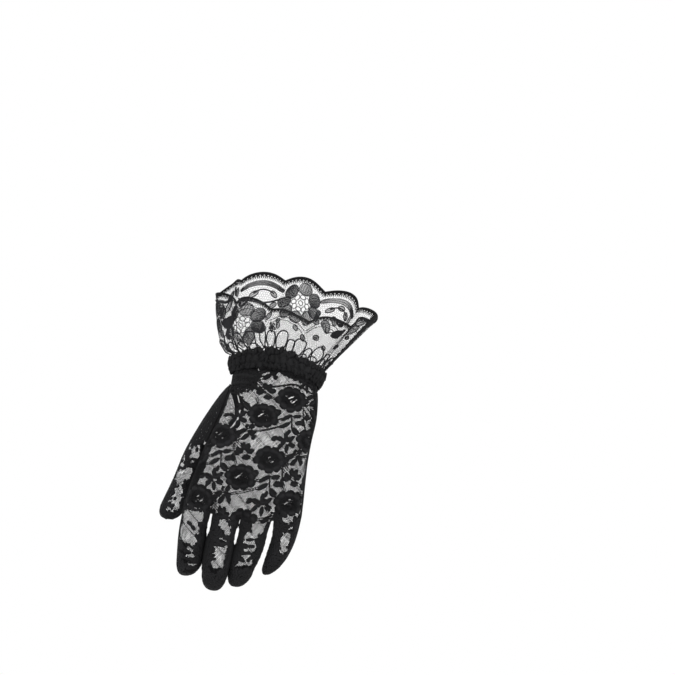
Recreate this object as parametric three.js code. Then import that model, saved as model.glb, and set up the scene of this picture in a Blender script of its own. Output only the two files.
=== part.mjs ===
import * as THREE from 'three';

// A lace dress glove for a left hand, in millimetres, worn form.
// The hand hangs along -Z, its back faces -Y, its thumb lies towards -X.
// The origin is the middle of the wrist opening.

const wall = 1.1; // thickness of the cloth walls
const seamGap = 0.3; // room between two pieces along a seam
const sectionPower = 2.3; // 2 would be a plain ellipse, more is squarer

const seamDip = 8; // the wrist ring dips this far at its two sides, where the seams pull it down
const handTop = -3; // level where the lace hand starts, inside the band
const webWidth = 2; // width of the crotch between two fingers
const webBows = [60, 120]; // degrees round the bow of a crotch where it has a column
const flankAngle = 52; // degrees from the middle of a finger's back to its side strip
const tipStart = 0.8; // share of a finger's length where its tip starts to round
const stripEnd = 0.8; // share of a finger's length where the side strip ends
const fingerBlend = 0.35; // share of a finger's length that turns from the palm's shape to its own
const knuckleBlend = 0.68; // share of the palm's length where the fingers start to show
const archDepth = 2.6; // the sides of the knuckles lie this much deeper than their middle
const knuckleThinning = 0.14; // share of its depth that the knuckle line loses at its sides
const fingerRadius = 9; // of a usual finger
const onSide = 1e-6; // height of a point that lies on the side edge of a section

// Sections of the palm from the wrist, at 0, to the finger roots, at 1.
const palmRows = [
  { at: 0.0, left: -30.6, right: 30.8, centre: 0, halfDepth: 20.5 },
  { at: 0.1, left: -30.0, right: 33.2, centre: -1, halfDepth: 19.6 },
  { at: 0.25, left: -32.8, right: 35.0, centre: -2.5, halfDepth: 17.8 },
  { at: 0.42, left: -36.0, right: 34.8, centre: -4, halfDepth: 16 },
  { at: 0.58, left: -38.4, right: 35.2, centre: -5.2, halfDepth: 14.4 },
  { at: 0.74, left: -40.8, right: 36.6, centre: -6.2, halfDepth: 13.2 },
  { at: 0.88, left: -42.8, right: 38.0, centre: -7.2, halfDepth: 12.2 },
  { at: 1.0, left: -44.2, right: 39.0, centre: -8, halfDepth: 11.4 },
];

// The line through the finger roots and crotches, across the hand.
const rootLine = [
  { at: -44.2, level: -102 },
  { at: -23.5, level: -108 },
  { at: -3, level: -107 },
  { at: 19.5, level: -104 },
  { at: 39, level: -96 },
];

// Each finger: its length, its turn from the palm, how much further its tip reaches on the thumb's
// side, and its sections from root, at 0, to tip, at 1.
const fingers = [
  {
    name: 'index',
    tipSlant: 4,
    length: 53,
    startTurn: 8,
    endTurn: 48,
    sections: [
      { at: 0, middle: -34.45, halfWidth: 9.75, halfDepth: 10.4 },
      { at: 0.35, middle: -33.9, halfWidth: 9.9, halfDepth: 8.8 },
      { at: 0.65, middle: -32.9, halfWidth: 9.4, halfDepth: 8.0 },
      { at: 1, middle: -31.6, halfWidth: 8.2, halfDepth: 6.6 },
    ],
  },
  {
    name: 'middle',
    tipSlant: 0.5,
    length: 58.5,
    startTurn: 8,
    endTurn: 52,
    sections: [
      { at: 0, middle: -13.35, halfWidth: 9.35, halfDepth: 11.2 },
      { at: 0.35, middle: -13.5, halfWidth: 9.9, halfDepth: 9.0 },
      { at: 0.65, middle: -13.45, halfWidth: 9.25, halfDepth: 8.2 },
      { at: 1, middle: -12.4, halfWidth: 8.0, halfDepth: 6.8 },
    ],
  },
  {
    name: 'ring',
    tipSlant: 2.5,
    length: 54.5,
    startTurn: 9,
    endTurn: 54,
    sections: [
      { at: 0, middle: 8.25, halfWidth: 10.25, halfDepth: 10.8 },
      { at: 0.35, middle: 7.3, halfWidth: 10.1, halfDepth: 8.8 },
      { at: 0.65, middle: 5.4, halfWidth: 9.0, halfDepth: 8.0 },
      { at: 1, middle: 3.7, halfWidth: 7.4, halfDepth: 6.6 },
    ],
  },
  {
    name: 'little',
    tipSlant: 3.5,
    length: 44,
    startTurn: 8,
    endTurn: 42,
    sections: [
      { at: 0, middle: 29.75, halfWidth: 9.25, halfDepth: 9.6 },
      { at: 0.35, middle: 29.5, halfWidth: 8.4, halfDepth: 7.9 },
      { at: 0.65, middle: 27.4, halfWidth: 7.3, halfDepth: 7.0 },
      { at: 1, middle: 23.8, halfWidth: 5.6, halfDepth: 5.8 },
    ],
  },
];

// The thumb hole is a leaf-shaped cut at the index side of the hand.
const thumbHole = {
  start: 0.1,
  end: 0.56,
  backDepth: 0.05,
  palmDepth: 0.42,
  sewnIn: 0.95, // share of the hole's length that the thumb fills
  backInset: 0.008,
  palmInset: 0.032,
};
const thumbRows = [
  { at: 0, x: -44.4, y: 8.6, z: -74, halfWidth: 9.6, halfDepth: 9.6 },
  { at: 0.33, x: -47.6, y: 10.6, z: -88, halfWidth: 9.0, halfDepth: 9.0 },
  { at: 0.66, x: -51.2, y: 11.6, z: -103, halfWidth: 9.2, halfDepth: 8.4 },
  { at: 1, x: -54.6, y: 12.0, z: -117, halfWidth: 9.2, halfDepth: 7.6 },
];
const thumbTurn = 25; // degrees that the thumb's inner side is turned to the palm
const thumbTipStart = 0.72;

// How strongly the thumb's skirt leaves its hole and runs down into the thumb, at the wrist's end
// of the hole, at 0, and at the fingers' end, at 1.
const thumbSkirt = [
  { at: 0, leaving: 19, aside: 0.8, drop: 34 },
  { at: 1, leaving: 20, aside: 0.3, drop: 9 },
];

// The bunched folds that the lace makes across the back, below the band.
const wristFolds = [
  { at: 0.075, height: 1.5, spread: 0.028, bow: 0.05 },
  { at: 0.165, height: 1.2, spread: 0.032, bow: 0.06 },
];

const band = { halfWidth: 33.9, halfDepth: 23.6, height: 13, thickness: 1.9, pleats: 32, pleatDepth: 1.2 };
const bandProfile = [
  { side: 1, level: -0.5, swell: -0.9 },
  { side: 1, level: -0.2, swell: 0.5 },
  { side: 1, level: 0.15, swell: 0.1 },
  { side: 1, level: 0.5, swell: 1.1 },
  { side: 0, level: 0.48, swell: 0.9 },
  { side: 0, level: 0.12, swell: 0 },
  { side: 0, level: -0.48, swell: 0 },
];

const ruffle = {
  bottom: { halfWidth: 32.2, halfDepth: 21.9, level: 0 },
  top: { halfWidth: 55.5, halfDepth: 42 },
  across: 4.2, // the rim leans this far away from the thumb
  deep: 3,
  held: 0.16, // share of its height that the band holds
  scallops: 10,
  scallopHeight: 5,
  scallopMiddle: 0.7, // share of a scallop's height at which the rim's mean level lies
  waves: 8,
  waveStart: -1.6, // phase of the waves at the first dip, in radians
  waveDepth: 3.4,
  firstDip: -0.2, // turn, in radians, of the scallop dip next to the middle of the front
};

// Level of the ruffle's rim round the wrist, by degrees from the middle of the front.
const rimRows = [
  { at: -180, level: 51 },
  { at: -150, level: 55 },
  { at: -120, level: 51.5 },
  { at: -90, level: 49.5 },
  { at: -55, level: 57.5 },
  { at: -28, level: 64 },
  { at: 5, level: 64.6 },
  { at: 32, level: 62.5 },
  { at: 75, level: 57 },
  { at: 180, level: 51 },
];

const radians = THREE.MathUtils.degToRad;
const smooth = THREE.MathUtils.smoothstep;
const lerp = THREE.MathUtils.lerp;

// Reads a column of a table between its rows, on a smooth curve.
function sample(rows, column, at) {
  const above = rows.findIndex((row) => row.at > at);
  const i = above < 0 ? rows.length - 2 : Math.max(above - 1, 0);
  const slope = (k) => {
    const before = rows[Math.max(k - 1, 0)];
    const after = rows[Math.min(k + 1, rows.length - 1)];
    return (after[column] - before[column]) / (after.at - before.at);
  };
  const span = rows[i + 1].at - rows[i].at;
  const t = THREE.MathUtils.clamp((at - rows[i].at) / span, 0, 1);
  const rise = rows[i + 1][column] - rows[i][column];
  const start = slope(i) * span;
  const end = slope(i + 1) * span;
  return rows[i][column] + t * (start + t * (3 * rise - 2 * start - end + t * (start + end - 2 * rise)));
}

function signedPower(value, power) {
  return Math.sign(value) * Math.abs(value) ** power;
}

// Height of a rounded section over a point that lies s of the way to its side.
function sectionHeight(s) {
  return Math.max(1 - Math.abs(s) ** sectionPower, 0) ** (1 / sectionPower);
}

// Outward direction of a rounded section, for a point at an angle from the middle of the back.
function sectionOutward(phi, halfWidth, halfDepth) {
  const power = 2 - 2 / sectionPower;
  const side = signedPower(Math.sin(phi), power) / halfWidth;
  const back = signedPower(Math.cos(phi), power) / halfDepth;
  return new THREE.Vector2(side, back).normalize();
}

// A thin wall: outer points with their outward directions, joined by four-sided faces.
class Wall {
  constructor() {
    this.points = [];
    this.outward = [];
    this.faces = [];
  }

  add({ point, outward }) {
    this.points.push(point);
    this.outward.push(outward);
    return this.points.length - 1;
  }

  // Joins rows of point numbers; columns run left to right and rows run down, seen from outside.
  join(rows) {
    for (let i = 0; i + 1 < rows.length; i += 1) {
      for (let j = 0; j + 1 < rows[i].length; j += 1) {
        this.faces.push([rows[i][j], rows[i + 1][j], rows[i + 1][j + 1], rows[i][j + 1]]);
      }
    }
  }

  // Gives the wall its thickness, with its edges closed.
  solid(thickness) {
    const inner = this.points.map((point, k) => point.clone().addScaledVector(this.outward[k], -thickness));
    const count = this.points.length;
    const edges = new Set();
    const triangles = [];
    const addFace = (corners) => {
      for (const [a, b, c] of [[0, 1, 2], [0, 2, 3]]) {
        const triangle = [corners[a], corners[b], corners[c]];
        if (new Set(triangle).size === 3) triangles.push(triangle);
      }
    };
    for (const face of this.faces) {
      addFace(face);
      addFace(face.map((k) => k + count).reverse());
      face.forEach((a, k) => edges.add(`${a},${face[(k + 1) % 4]}`));
    }
    for (const edge of edges) {
      const [a, b] = edge.split(',').map(Number);
      if (a !== b && !edges.has(`${b},${a}`)) addFace([b, a, a + count, b + count]);
    }
    return meshGeometry([...this.points, ...inner], triangles);
  }
}

function meshGeometry(points, triangles) {
  const geometry = new THREE.BufferGeometry();
  geometry.setFromPoints(points);
  geometry.setIndex(triangles.flat());
  return geometry;
}

// The hand

const palmEnd = palmRows[palmRows.length - 1];
const palmEndMiddle = (palmEnd.left + palmEnd.right) / 2;
const palmEndHalf = (palmEnd.right - palmEnd.left) / 2;

function isOpenSide(finger, side) {
  const outermost = side < 0 ? 0 : fingers.length - 1;
  return fingers.indexOf(finger) !== outermost;
}

// Place across and height, as shares, of a point at an angle on a finger's root.
function rootShape(finger, phi) {
  if (!isOpenSide(finger, Math.sin(phi))) {
    const s = signedPower(Math.sin(phi), 2 / sectionPower);
    return { across: s, height: signedPower(Math.cos(phi), 2 / sectionPower) };
  }
  const across = Math.sin(phi) / Math.sin(radians(flankAngle));
  return { across: THREE.MathUtils.clamp(across, -1, 1), height: Math.cos(phi) };
}

function rootDepth(x) {
  const s = (x - palmEndMiddle) / palmEndHalf;
  return palmEnd.halfDepth * (1 - knuckleThinning * s * s);
}

// The hand arches across its width, so its sides lie deeper than its middle.
function handArch(s) {
  return archDepth * s * s;
}

// Point of the root ring, where the palm ends and a finger starts.
function rootPoint(x, height, rise) {
  const s = (x - palmEndMiddle) / palmEndHalf;
  const depth = rootDepth(x) * height;
  const y = palmEnd.centre + handArch(s) - depth;
  return new THREE.Vector3(x, y, sample(rootLine, 'level', x) + rise);
}

function holeProfile(at) {
  const t = (at - thumbHole.start) / (thumbHole.end - thumbHole.start);
  return t <= 0 || t >= 1 ? 0 : Math.sin(Math.PI * t);
}

// Point of the palm at a share of its length; rootX, height and rise name its column.
function palmPoint(at, rootX, height, rise, depthOfHole) {
  const face = height < 0 ? -1 : 1;
  const left = sample(palmRows, 'left', at);
  const right = sample(palmRows, 'right', at);
  const halfDepth = sample(palmRows, 'halfDepth', at);
  const plain = (rootX - palmEndMiddle) / palmEndHalf;
  const s = plain + (depthOfHole * holeProfile(at) * (1 - plain)) / 2;
  const x = (left + right) / 2 + ((right - left) / 2) * s;
  const share = smooth(at, knuckleBlend, 1);
  const depth = lerp(halfDepth * sectionHeight(s), rootDepth(rootX) * Math.abs(height), share);
  const y = sample(palmRows, 'centre', at) + handArch(s) * at - face * depth;
  const ringRise = seamRise(y / palmRows[0].halfDepth) * (1 - at) ** 2;
  const z = lerp(handTop, sample(rootLine, 'level', rootX) + rise, at) + ringRise;
  const outward = new THREE.Vector3(
    signedPower(s, sectionPower - 1) / ((right - left) / 2),
    (-face * sectionHeight(s) ** (sectionPower - 1)) / halfDepth,
    0,
  ).normalize();
  const fold = face > 0 ? foldHeight(at, s) : 0;
  return { point: new THREE.Vector3(x, y, z).addScaledVector(outward, fold), outward };
}

// Rise of the wrist ring between its seams, for a point some share of the way to its front or rear.
function seamRise(share) {
  return seamDip * share * share - 0.5;
}

function foldHeight(at, s) {
  const reach = Math.max(1 - s * s, 0);
  return wristFolds.reduce((sum, fold) => {
    const crest = fold.at + fold.bow * s * s;
    return sum + fold.height * reach * Math.exp(-(((at - crest) / fold.spread) ** 2));
  }, 0);
}

// Centre line of a finger: it leaves the palm at one turn and bends evenly to the other.
function fingerFrame(finger, along) {
  const start = radians(finger.startTurn);
  const bend = radians(finger.endTurn - finger.startTurn) / finger.length;
  const turn = start + bend * finger.length * along;
  const root = rootPoint(finger.sections[0].middle, 0, 0);
  const y = root.y + (Math.cos(start) - Math.cos(turn)) / bend;
  const z = root.z - (Math.sin(turn) - Math.sin(start)) / bend;
  return {
    root,
    centre: new THREE.Vector3(sample(finger.sections, 'middle', along), y, z),
    onward: new THREE.Vector3(0, Math.sin(turn), -Math.cos(turn)),
    back: new THREE.Vector3(0, -Math.cos(turn), -Math.sin(turn)),
  };
}

function tipRound(along, start) {
  const t = Math.max((along - start) / (1 - start), 0);
  return { size: sectionHeight(t), slope: t ** 2 };
}

function fingerPoint(finger, along, phi) {
  const frame = fingerFrame(finger, along);
  const tip = tipRound(along, tipStart);
  const halfWidth = sample(finger.sections, 'halfWidth', along);
  const halfDepth = sample(finger.sections, 'halfDepth', along);
  const power = 2 / sectionPower;
  const own = frame.centre.clone();
  own.x += halfWidth * tip.size * signedPower(Math.sin(phi), power);
  own.addScaledVector(frame.back, halfDepth * tip.size * signedPower(Math.cos(phi), power));
  const shape = rootShape(finger, phi);
  const section = finger.sections[0];
  const onRoot = rootPoint(section.middle + section.halfWidth * shape.across, shape.height, 0);
  const carried = frame.centre.clone().add(onRoot.sub(frame.root));
  const point = carried.lerp(own, smooth(along, 0, fingerBlend));
  const slant = -finger.tipSlant * Math.sin(phi) * tip.size * smooth(along, 0.6, 1);
  point.addScaledVector(frame.onward, slant);
  const flat = sectionOutward(phi, halfWidth, halfDepth);
  const outward = frame.back.clone().multiplyScalar(flat.y);
  outward.x = flat.x;
  outward.lerp(frame.onward, tip.slope).normalize();
  return { point, outward };
}

// Half the angle that the back or palm panel covers; it widens to the tip, where the side strip ends.
function panelReach(along) {
  return radians(lerp(flankAngle, 90, smooth(along, 0.5, 0.92)));
}

const fingerSteps = [0, 0.09, 0.18, 0.28, 0.4, 0.52, 0.66, 0.8, 0.89, 0.95, 0.985, 1];
const palmSteps = [0, 0.04, 0.075, 0.11, 0.15, 0.185, 0.23, 0.31, 0.4, 0.5, 0.6, 0.7, 0.79, 0.87, 0.94];
const panelColumns = 5; // faces across one finger

// Angles of a panel's columns on a finger; face is 1 for the back and -1 for the palm.
function columnAngles(finger, along, face) {
  const reach = panelReach(along);
  const middle = face > 0 ? 0 : Math.PI;
  const sides = face > 0 ? [-1, 1] : [1, -1];
  const [start, end] = sides.map((side) => (isOpenSide(finger, side) ? reach : Math.PI / 2));
  return Array.from({ length: panelColumns + 1 }, (_, k) => middle + lerp(-start, end, k / panelColumns));
}

// The lowered point of a crotch, between two fingers, at an angle round its bow.
function webColumn(gap, bow, face) {
  const finger = fingers[gap];
  const section = finger.sections[0];
  const edge = section.middle + section.halfWidth;
  const x = edge + (webWidth / 2) * (1 - Math.cos(bow));
  const height = face * Math.cos(radians(flankAngle));
  return { x, height, rise: (webWidth / 2) * Math.sin(bow) };
}

// Outward direction at a crotch: into the space between the fingers.
function webOutward(bow, phi) {
  const around = Math.sin(phi);
  return new THREE.Vector3(Math.cos(bow) * around, -Math.cos(phi), -Math.sin(bow) * around).normalize();
}

// Back or palm of the hand with its four finger faces, as one cut piece.
function handPanel(face) {
  const panel = new Wall();
  const order = face > 0 ? fingers : [...fingers].reverse();
  const depthOfHole = face > 0 ? thumbHole.backDepth : thumbHole.palmDepth;
  const clear = (entry) => {
    entry.point.y += face > 0 ? 0 : seamGap;
    return entry;
  };
  const webOf = (k) =>
    webBows.map((degrees) => ({
      gap: face > 0 ? k : order.length - 2 - k,
      bow: radians(face > 0 ? degrees : 180 - degrees),
    }));
  const columns = [];
  order.forEach((finger, k) => {
    const section = finger.sections[0];
    const angles = columnAngles(finger, 0, face);
    angles.forEach((phi) => {
      const shape = rootShape(finger, phi);
      const x = section.middle + section.halfWidth * shape.across;
      columns.push({ x, height: face * Math.abs(shape.height), rise: 0 });
    });
    if (k < order.length - 1) columns.push(...webOf(k).map(({ gap, bow }) => webColumn(gap, bow, face)));
  });
  const rows = palmSteps.map((at) =>
    columns.map(({ x, height, rise }) => {
      const signed = Math.abs(height) < onSide ? face * onSide : height;
      return panel.add(clear(palmPoint(at, x, signed, rise, depthOfHole)));
    }),
  );
  const rootRow = [];
  const fingerRows = order.map((finger) =>
    fingerSteps.slice(0, -1).map((along) =>
      columnAngles(finger, along, face).map((phi) => panel.add(clear(fingerPoint(finger, along, phi)))),
    ),
  );
  order.forEach((finger, k) => {
    rootRow.push(...fingerRows[k][0]);
    if (k < order.length - 1) {
      for (const { gap, bow } of webOf(k)) {
        const web = webColumn(gap, bow, face);
        const point = rootPoint(web.x, web.height, web.rise);
        const phi = face > 0 ? radians(flankAngle) : Math.PI - radians(flankAngle);
        rootRow.push(panel.add(clear({ point, outward: webOutward(bow, phi) })));
      }
    }
    const tip = panel.add(clear(fingerPoint(finger, 1, face > 0 ? 0 : Math.PI)));
    fingerRows[k].push(new Array(panelColumns + 1).fill(tip));
    panel.join(fingerRows[k]);
  });
  panel.join([...rows, rootRow]);
  return panel.solid(wall);
}

// The strip between two fingers: down one side, over the crotch and down the other.
function sideStrip(gap) {
  const strip = new Wall();
  const across = 3;
  const room = seamGap / fingerRadius;
  const angles = (along, sign) => {
    const start = panelReach(along) + room;
    const end = Math.PI - panelReach(along) - room;
    return Array.from({ length: across + 1 }, (_, k) => sign * lerp(end, start, k / across));
  };
  const along = fingerSteps.filter((step) => step <= stripEnd);
  const down = (finger, sign) => (step) =>
    angles(step, sign).map((phi) => strip.add(fingerPoint(finger, step, phi)));
  const first = [...along].reverse().map(down(fingers[gap], 1));
  const over = webBows.map(radians).map((bow) =>
    angles(0, 1).map((phi) => {
      const column = webColumn(gap, bow, 1);
      const point = rootPoint(column.x, Math.cos(phi), column.rise);
      return strip.add({ point, outward: webOutward(bow, phi) });
    }),
  );
  const last = along.map(down(fingers[gap + 1], -1));
  strip.join([...first, ...over, ...last]);
  return strip.solid(wall);
}

// The thumb, from the leaf-shaped hole to its tip.
function thumbTube() {
  const tube = new Wall();
  const columns = 18;
  const inward = radians(thumbTurn);
  const inner = new THREE.Vector3(Math.cos(inward), -Math.sin(inward), 0);
  const side = new THREE.Vector3(Math.sin(inward), Math.cos(inward), 0);
  const ringPoint = (at, turn) => {
    const tip = tipRound(at, thumbTipStart);
    const centre = new THREE.Vector3(...['x', 'y', 'z'].map((axis) => sample(thumbRows, axis, at)));
    const halfWidth = sample(thumbRows, 'halfWidth', at) * tip.size;
    const halfDepth = sample(thumbRows, 'halfDepth', at) * tip.size;
    const outward = inner.clone().multiplyScalar(Math.cos(turn)).addScaledVector(side, Math.sin(turn));
    const point = centre.addScaledVector(inner, halfWidth * Math.cos(turn));
    point.addScaledVector(side, halfDepth * Math.sin(turn));
    return { point, outward: outward.lerp(new THREE.Vector3(0, 0, -1), tip.slope).normalize() };
  };
  const holeEdge = (turn) => {
    const reach = (thumbHole.end - thumbHole.start) / 2;
    const at = thumbHole.start + reach + reach * thumbHole.sewnIn * Math.cos(turn);
    const onPalm = Math.sin(turn) > 0;
    const depthOnBack = thumbHole.backDepth - thumbHole.backInset;
    const depthOnPalm = thumbHole.palmDepth - thumbHole.palmInset;
    return palmPoint(at, palmEnd.left, onPalm ? -onSide : onSide, 0, onPalm ? depthOnPalm : depthOnBack);
  };
  const loft = (t, turn) => {
    const start = holeEdge(turn);
    const end = ringPoint(0, turn);
    const inHole = (1 + Math.cos(turn)) / 2;
    const [leaving, aside, drop] = ['leaving', 'aside', 'drop'].map((column) =>
      lerp(thumbSkirt[0][column], thumbSkirt[1][column], inHole),
    );
    const away = new THREE.Vector3(-1, 0.25, -0.35).multiplyScalar(leaving);
    const down = new THREE.Vector3(-3 * aside, 1.5 * aside, -drop);
    const point = start.point.clone().multiplyScalar(2 * t ** 3 - 3 * t ** 2 + 1);
    point.addScaledVector(away, t ** 3 - 2 * t ** 2 + t);
    point.addScaledVector(end.point, -2 * t ** 3 + 3 * t ** 2);
    point.addScaledVector(down, t ** 3 - t ** 2);
    return { point, outward: start.outward.lerp(end.outward, t).normalize() };
  };
  const turns = Array.from({ length: columns }, (_, k) => (2 * Math.PI * (k + 0.5)) / columns);
  const closed = (row) => [...row, row[0]];
  const rows = [0, 0.16, 0.34, 0.54, 0.77].map((share) =>
    closed(turns.map((turn) => tube.add(loft(share, turn)))),
  );
  for (const at of [0, 0.15, 0.3, 0.45, 0.6, 0.74, 0.85, 0.93, 0.98]) {
    rows.push(closed(turns.map((turn) => tube.add(ringPoint(at, turn)))));
  }
  const tip = tube.add(ringPoint(1, 0));
  rows.push(new Array(columns + 1).fill(tip));
  tube.join(rows);
  return tube.solid(wall);
}

// The cuff

// Angles round an ellipse that cut it into equal lengths, from a given start.
function evenTurns(halfWidth, halfDepth, count, start) {
  const fine = 720;
  const lengths = [0];
  for (let k = 0; k < fine; k += 1) {
    const turn = start + (2 * Math.PI * (k + 0.5)) / fine;
    const speed = Math.hypot(halfWidth * Math.cos(turn), halfDepth * Math.sin(turn));
    lengths.push(lengths[k] + (speed * 2 * Math.PI) / fine);
  }
  return Array.from({ length: count }, (_, k) => {
    const wanted = (lengths[fine] * k) / count;
    return start + (2 * Math.PI * lengths.findIndex((length) => length >= wanted)) / fine;
  });
}

// Point round the wrist ring; turn 0 is the middle of the front and a quarter turn is +X.
function ringPlace(turn, halfWidth, halfDepth, level) {
  const x = halfWidth * Math.sin(turn);
  const y = -halfDepth * Math.cos(turn);
  return new THREE.Vector3(x, y, level + seamRise(Math.cos(turn)));
}

// The gathered band is a ring of small upright pleats round a closed profile.
function bandRing() {
  const columns = band.pleats * 2;
  const points = [];
  const triangles = [];
  const size = bandProfile.length;
  for (let k = 0; k < columns; k += 1) {
    const turn = (2 * Math.PI * k) / columns;
    for (const { side, level, swell } of bandProfile) {
      const pleat = side * (k % 2 ? 0.5 : -0.5) * band.pleatDepth;
      const out = (side - 0.5) * band.thickness + swell + pleat;
      points.push(ringPlace(turn, band.halfWidth + out, band.halfDepth + out, level * band.height));
    }
  }
  for (let k = 0; k < columns; k += 1) {
    const next = (k + 1) % columns;
    for (let j = 0; j < size; j += 1) {
      const above = (j + 1) % size;
      const corners = [k * size + j, next * size + j, next * size + above, k * size + above];
      triangles.push([corners[0], corners[1], corners[2]], [corners[0], corners[2], corners[3]]);
    }
  }
  return meshGeometry(points, triangles);
}

// Share of the flare reached at a height; the thumb side bells out early, the far side runs straight.
function flareShare(height, turn) {
  const power = 0.68 + 0.32 * Math.sin(turn);
  return height ** power;
}

// The flared ruffle: a gathered strip that opens upwards, with waves and a scalloped rim.
function rufflePoint(height, turn, strip) {
  const { bottom, top } = ruffle;
  const free = Math.max(height - ruffle.held, 0) / (1 - ruffle.held);
  const open = flareShare(free, turn);
  const wave = ruffle.waveDepth * Math.cos(ruffle.waves * strip + ruffle.waveStart) * free;
  const halfWidth = lerp(bottom.halfWidth, top.halfWidth, open) + wave;
  const halfDepth = lerp(bottom.halfDepth, top.halfDepth, open) + wave;
  const scallop = Math.abs(Math.sin((ruffle.scallops * strip) / 2)) - ruffle.scallopMiddle;
  const degrees = THREE.MathUtils.radToDeg(Math.atan2(Math.sin(turn), Math.cos(turn)));
  const rim = sample(rimRows, 'level', degrees) + ruffle.scallopHeight * scallop;
  const point = ringPlace(turn, halfWidth, halfDepth, 0);
  point.x += ruffle.across * height;
  point.y += ruffle.deep * height;
  point.z = lerp(bottom.level + point.z, rim, height);
  return point;
}

function ruffleRing() {
  const strip = new Wall();
  const columns = ruffle.scallops * 8;
  const turns = evenTurns(ruffle.top.halfWidth, ruffle.top.halfDepth, columns, ruffle.firstDip);
  const closed = (row) => [...row, row[0]];
  const rows = [1, 0.86, 0.68, 0.48, 0.3, 0.16, 0].map((height) =>
    closed(
      turns.map((turn, k) => {
        const along = (2 * Math.PI * k) / columns;
        const point = rufflePoint(height, turn, along);
        const outward = new THREE.Vector3(Math.sin(turn), -Math.cos(turn), 0);
        return strip.add({ point, outward });
      }),
    ),
  );
  strip.join(rows);
  return strip.solid(wall);
}

function cloth(name, geometry, color, roughness) {
  geometry.computeVertexNormals();
  const material = new THREE.MeshStandardMaterial({ color, roughness, metalness: 0 });
  material.name = `${name}_finish`;
  const mesh = new THREE.Mesh(geometry, material);
  mesh.name = name;
  return mesh;
}

const glove = new THREE.Group();
glove.add(cloth('back_panel', handPanel(1), 0x242427, 0.85));
glove.add(cloth('palm_panel', handPanel(-1), 0x29292c, 0.85));
fingers.slice(0, -1).forEach((finger, gap) => {
  const pair = `${finger.name}_${fingers[gap + 1].name}`;
  glove.add(cloth(`fourchette_${pair}`, sideStrip(gap), 0x161618, 0.8));
});
glove.add(cloth('thumb', thumbTube(), 0x222225, 0.85));
glove.add(cloth('wrist_band', bandRing(), 0x121214, 0.75));
glove.add(cloth('ruffle', ruffleRing(), 0x3a3a3e, 0.85));

export default glove;
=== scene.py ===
import math

import bmesh
import bpy
import numpy as np
from mathutils import Matrix


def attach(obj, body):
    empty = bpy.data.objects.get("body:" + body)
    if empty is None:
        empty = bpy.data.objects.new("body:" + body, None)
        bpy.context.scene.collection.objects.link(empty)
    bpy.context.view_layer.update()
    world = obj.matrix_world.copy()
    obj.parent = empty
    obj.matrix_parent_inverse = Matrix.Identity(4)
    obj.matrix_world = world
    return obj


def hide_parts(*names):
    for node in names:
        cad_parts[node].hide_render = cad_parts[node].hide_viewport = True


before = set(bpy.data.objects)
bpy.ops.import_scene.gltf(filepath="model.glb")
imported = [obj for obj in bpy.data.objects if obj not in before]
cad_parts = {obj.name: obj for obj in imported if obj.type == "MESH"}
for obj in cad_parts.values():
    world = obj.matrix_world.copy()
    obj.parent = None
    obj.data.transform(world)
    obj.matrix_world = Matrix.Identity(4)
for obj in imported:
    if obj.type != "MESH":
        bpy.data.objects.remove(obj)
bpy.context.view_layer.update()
print("frame loaded")


def table(columns, *rows):
    # Each row as a dictionary of the columns, whose names are given in one text.
    return [dict(zip(columns.split(), row)) for row in rows]


# The hand's form, as it is cut and worn

wall = {
    "lift": -0.35, "seamGap": 0.3, "power": 2.3, "flank": 52, "webWidth": 2, "handTop": -3, "seamDip": 8,
    "seamTop": -0.5, "flankEnds": (0.5, 0.92),
}
palmRows = table(
    "at left right centre halfDepth",
    (0.0, -30.6, 30.8, 0, 20.5), (0.1, -30.0, 33.2, -1, 19.6), (0.25, -32.8, 35.0, -2.5, 17.8),
    (0.42, -36.0, 34.8, -4, 16), (0.58, -38.4, 35.2, -5.2, 14.4), (0.74, -40.8, 36.6, -6.2, 13.2),
    (0.88, -42.8, 38.0, -7.2, 12.2), (1.0, -44.2, 39.0, -8, 11.4),
)
rootLine = table("at level", (-44.2, -102), (-23.5, -108), (-3, -107), (19.5, -104), (39, -96))
knuckles = {"blend": 0.68, "arch": 2.6, "thinning": 0.14, "fingerBlend": 0.35}
wristFolds = table("at height spread bow", (0.075, 1.5, 0.028, 0.05), (0.165, 1.2, 0.032, 0.06))
sectionColumns = "at middle halfWidth halfDepth"
fingers = table(
    "name slant length start end sections",
    ("index", 4, 53, 8, 48, table(
        sectionColumns, (0, -34.45, 9.75, 10.4), (0.35, -33.9, 9.9, 8.8), (0.65, -32.9, 9.4, 8.0),
        (1, -31.6, 8.2, 6.6),
    )),
    ("middle", 0.5, 58.5, 8, 52, table(
        sectionColumns, (0, -13.35, 9.35, 11.2), (0.35, -13.5, 9.9, 9.0), (0.65, -13.45, 9.25, 8.2),
        (1, -12.4, 8.0, 6.8),
    )),
    ("ring", 2.5, 54.5, 9, 54, table(
        sectionColumns, (0, 8.25, 10.25, 10.8), (0.35, 7.3, 10.1, 8.8), (0.65, 5.4, 9.0, 8.0),
        (1, 3.7, 7.4, 6.6),
    )),
    ("little", 3.5, 44, 8, 42, table(
        sectionColumns, (0, 29.75, 9.25, 9.6), (0.35, 29.5, 8.4, 7.9), (0.65, 27.4, 7.3, 7.0),
        (1, 23.8, 5.6, 5.8),
    )),
)
lastFinger = len(fingers) - 1
fingerTips = {"start": 0.8, "stripEnd": 0.8, "slantFrom": 0.6}
thumbHole = {
    "start": 0.1, "end": 0.56, "back": 0.05, "palm": 0.42, "sewnIn": 0.95, "backInset": 0.008,
    "palmInset": 0.032,
}
thumbRows = table(
    "at x y z halfWidth halfDepth",
    (0, -44.4, 8.6, -74, 9.6, 9.6), (0.33, -47.6, 10.6, -88, 9.0, 9.0),
    (0.66, -51.2, 11.6, -103, 9.2, 8.4), (1, -54.6, 12.0, -117, 9.2, 7.6),
)
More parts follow.
